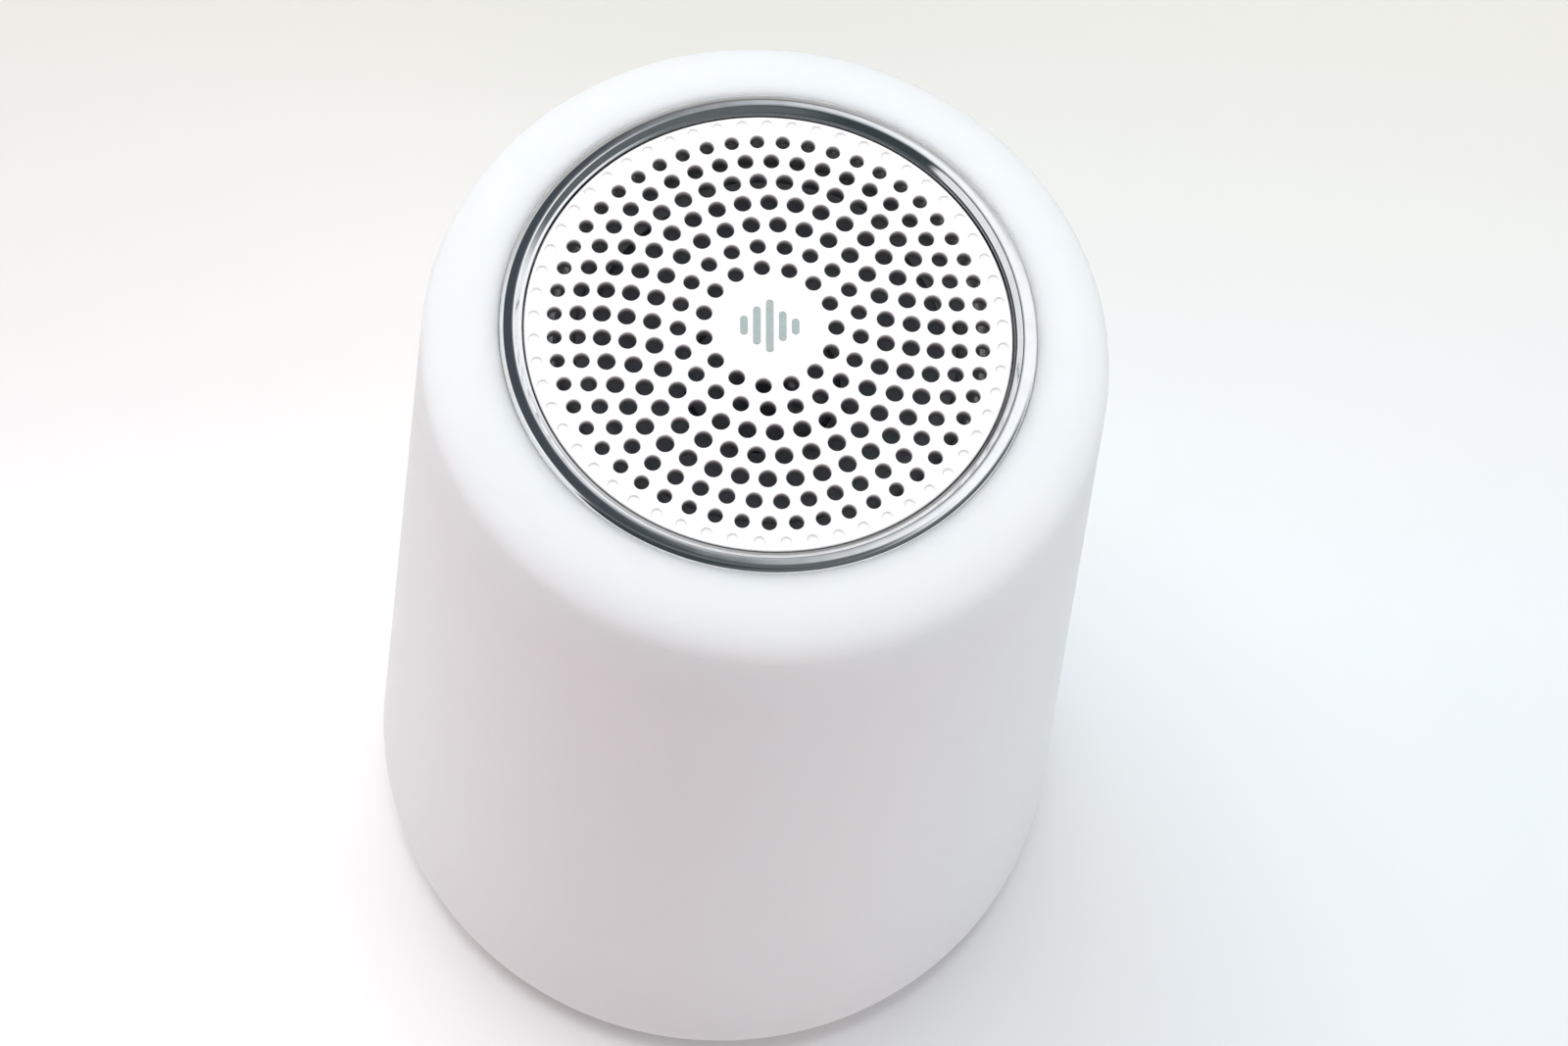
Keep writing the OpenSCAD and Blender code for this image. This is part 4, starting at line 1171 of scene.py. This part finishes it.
def make_world():
    """Soft studio surround: bright low down and at the sides, dark overhead as gloss sees it."""
    world = bpy.data.worlds.new("studio")
    world.use_nodes = True
    bpy.context.scene.world = world
    graph = Graph(world.node_tree)
    place = graph.node("TexCoord").outputs["Generated"]
    ramp = graph.node("ValToRGB", {0: graph.node("SeparateXYZ", {0: place}).outputs["Z"]})
    stops = [(0.0, (0.90, 0.89, 0.89)), (0.05, (1.0, 1.0, 1.0)), (0.25, (1.1, 1.1, 1.11)),
             (1.0, (1.12, 1.14, 1.16))]
    while len(ramp.color_ramp.elements) < len(stops):
        ramp.color_ramp.elements.new(0.5)
    for element, (at, colour) in zip(ramp.color_ramp.elements, stops):
        element.position = at
        element.color = (*colour, 1)

    def near(direction, inner, outer):
        """1 within inner degrees of a direction, falling to 0 at outer degrees."""
        azimuth, elevation = (radians(a) for a in direction)
        aim = (sin(azimuth) * cos(elevation), cos(azimuth) * cos(elevation), sin(elevation))
        dot = graph.node("VectorMath", {0: place, 1: aim}, operation="DOT_PRODUCT")
        return graph.node("MapRange", {"Value": dot.outputs["Value"],
                                       "From Min": cos(radians(outer)),
                                       "From Max": cos(radians(inner))},
                          interpolation_type="SMOOTHSTEP").outputs[0]

    # Grey and black cards: direction (azimuth, elevation), where they are full and gone, and tone.
    low_left = ((-90, -5), 35, 61, (0.92, 0.92, 0.92))
    low_back = ((-3, 4), 30, 57, (0.52, 0.51, 0.50))
    high_front = ((-132, 82), 21, 32, (0.135, 0.15, 0.155))
    front = ((197, 39), 36, 41, (0.05, 0.062, 0.068))
    high_back = ((0, 47), 8, 12, (0.29, 0.28, 0.265))
    right = ((136, 15), 43, 65, (0.13, 0.145, 0.15))
    high_left = ((-36, 61), 17, 24, (0.068, 0.08, 0.09))
    seen = ramp.outputs[0]
    for direction, full, gone, tone in (low_left, low_back, high_front, front, high_back, right,
                                        high_left):
        seen = graph.mix(near(direction, full, gone), seen, tone)
    even = (0.40, 0.375, 0.38)
    gloss = graph.node("LightPath").outputs["Is Glossy Ray"]
    sky = graph.mix(gloss, even, seen)
    graph.tree.links.new(sky, graph.tree.nodes["Background"].inputs["Color"])


def make_camera():
    """The viewpoint: above the front edge, a little to the left, looking down and turned."""
    eye = Vector((-17.76, -147.4, 275.4 + GRILLE_Z))
    heading = 9.07
    below_level = 65.94
    roll = 9.68
    lens = bpy.data.cameras.new("view")
    lens.lens = 59.27
    lens.sensor_width = 36
    lens.clip_start = 0.01
    lens.clip_end = 50
    camera = add_object("view", lens)
    camera.matrix_world = (Matrix.Translation(eye * MM) @ Matrix.Rotation(radians(-heading), 4, "Z")
                           @ Matrix.Rotation(radians(90 - below_level), 4, "X")
                           @ Matrix.Rotation(radians(roll), 4, "Z"))
    bpy.context.scene.camera = camera


make_camera()
make_world()
make_floor()
soft_box("overhead", (-0.12, 0.24, 1.1), 0.8, 9.2, (0.95, 0.985, 1.0))
soft_box("front", (-0.35, -1.15, 0.45), 0.9, 2.3, (1.0, 0.62, 0.65))
soft_box("left", (-1.0, 0.3, 0.5), 0.7, 2.0, (1.0, 0.95, 0.94))
soft_box("right", (0.95, -0.3, 0.4), 0.7, 3.0, (0.93, 1.0, 0.98))
bpy.context.scene.view_settings.view_transform = "Standard"

make_shade()
make_trim_ring()
make_grille()
make_badge()
make_driver()
for node, (body, kind) in KEYS.items():
    make_key(node, body, kind)
make_base()
make_foot_ring()
for slot, nodes in KEPT_NODES.items():
    for node, edge in nodes.items():
        finish_node(node, LOOKS[slot], edge)
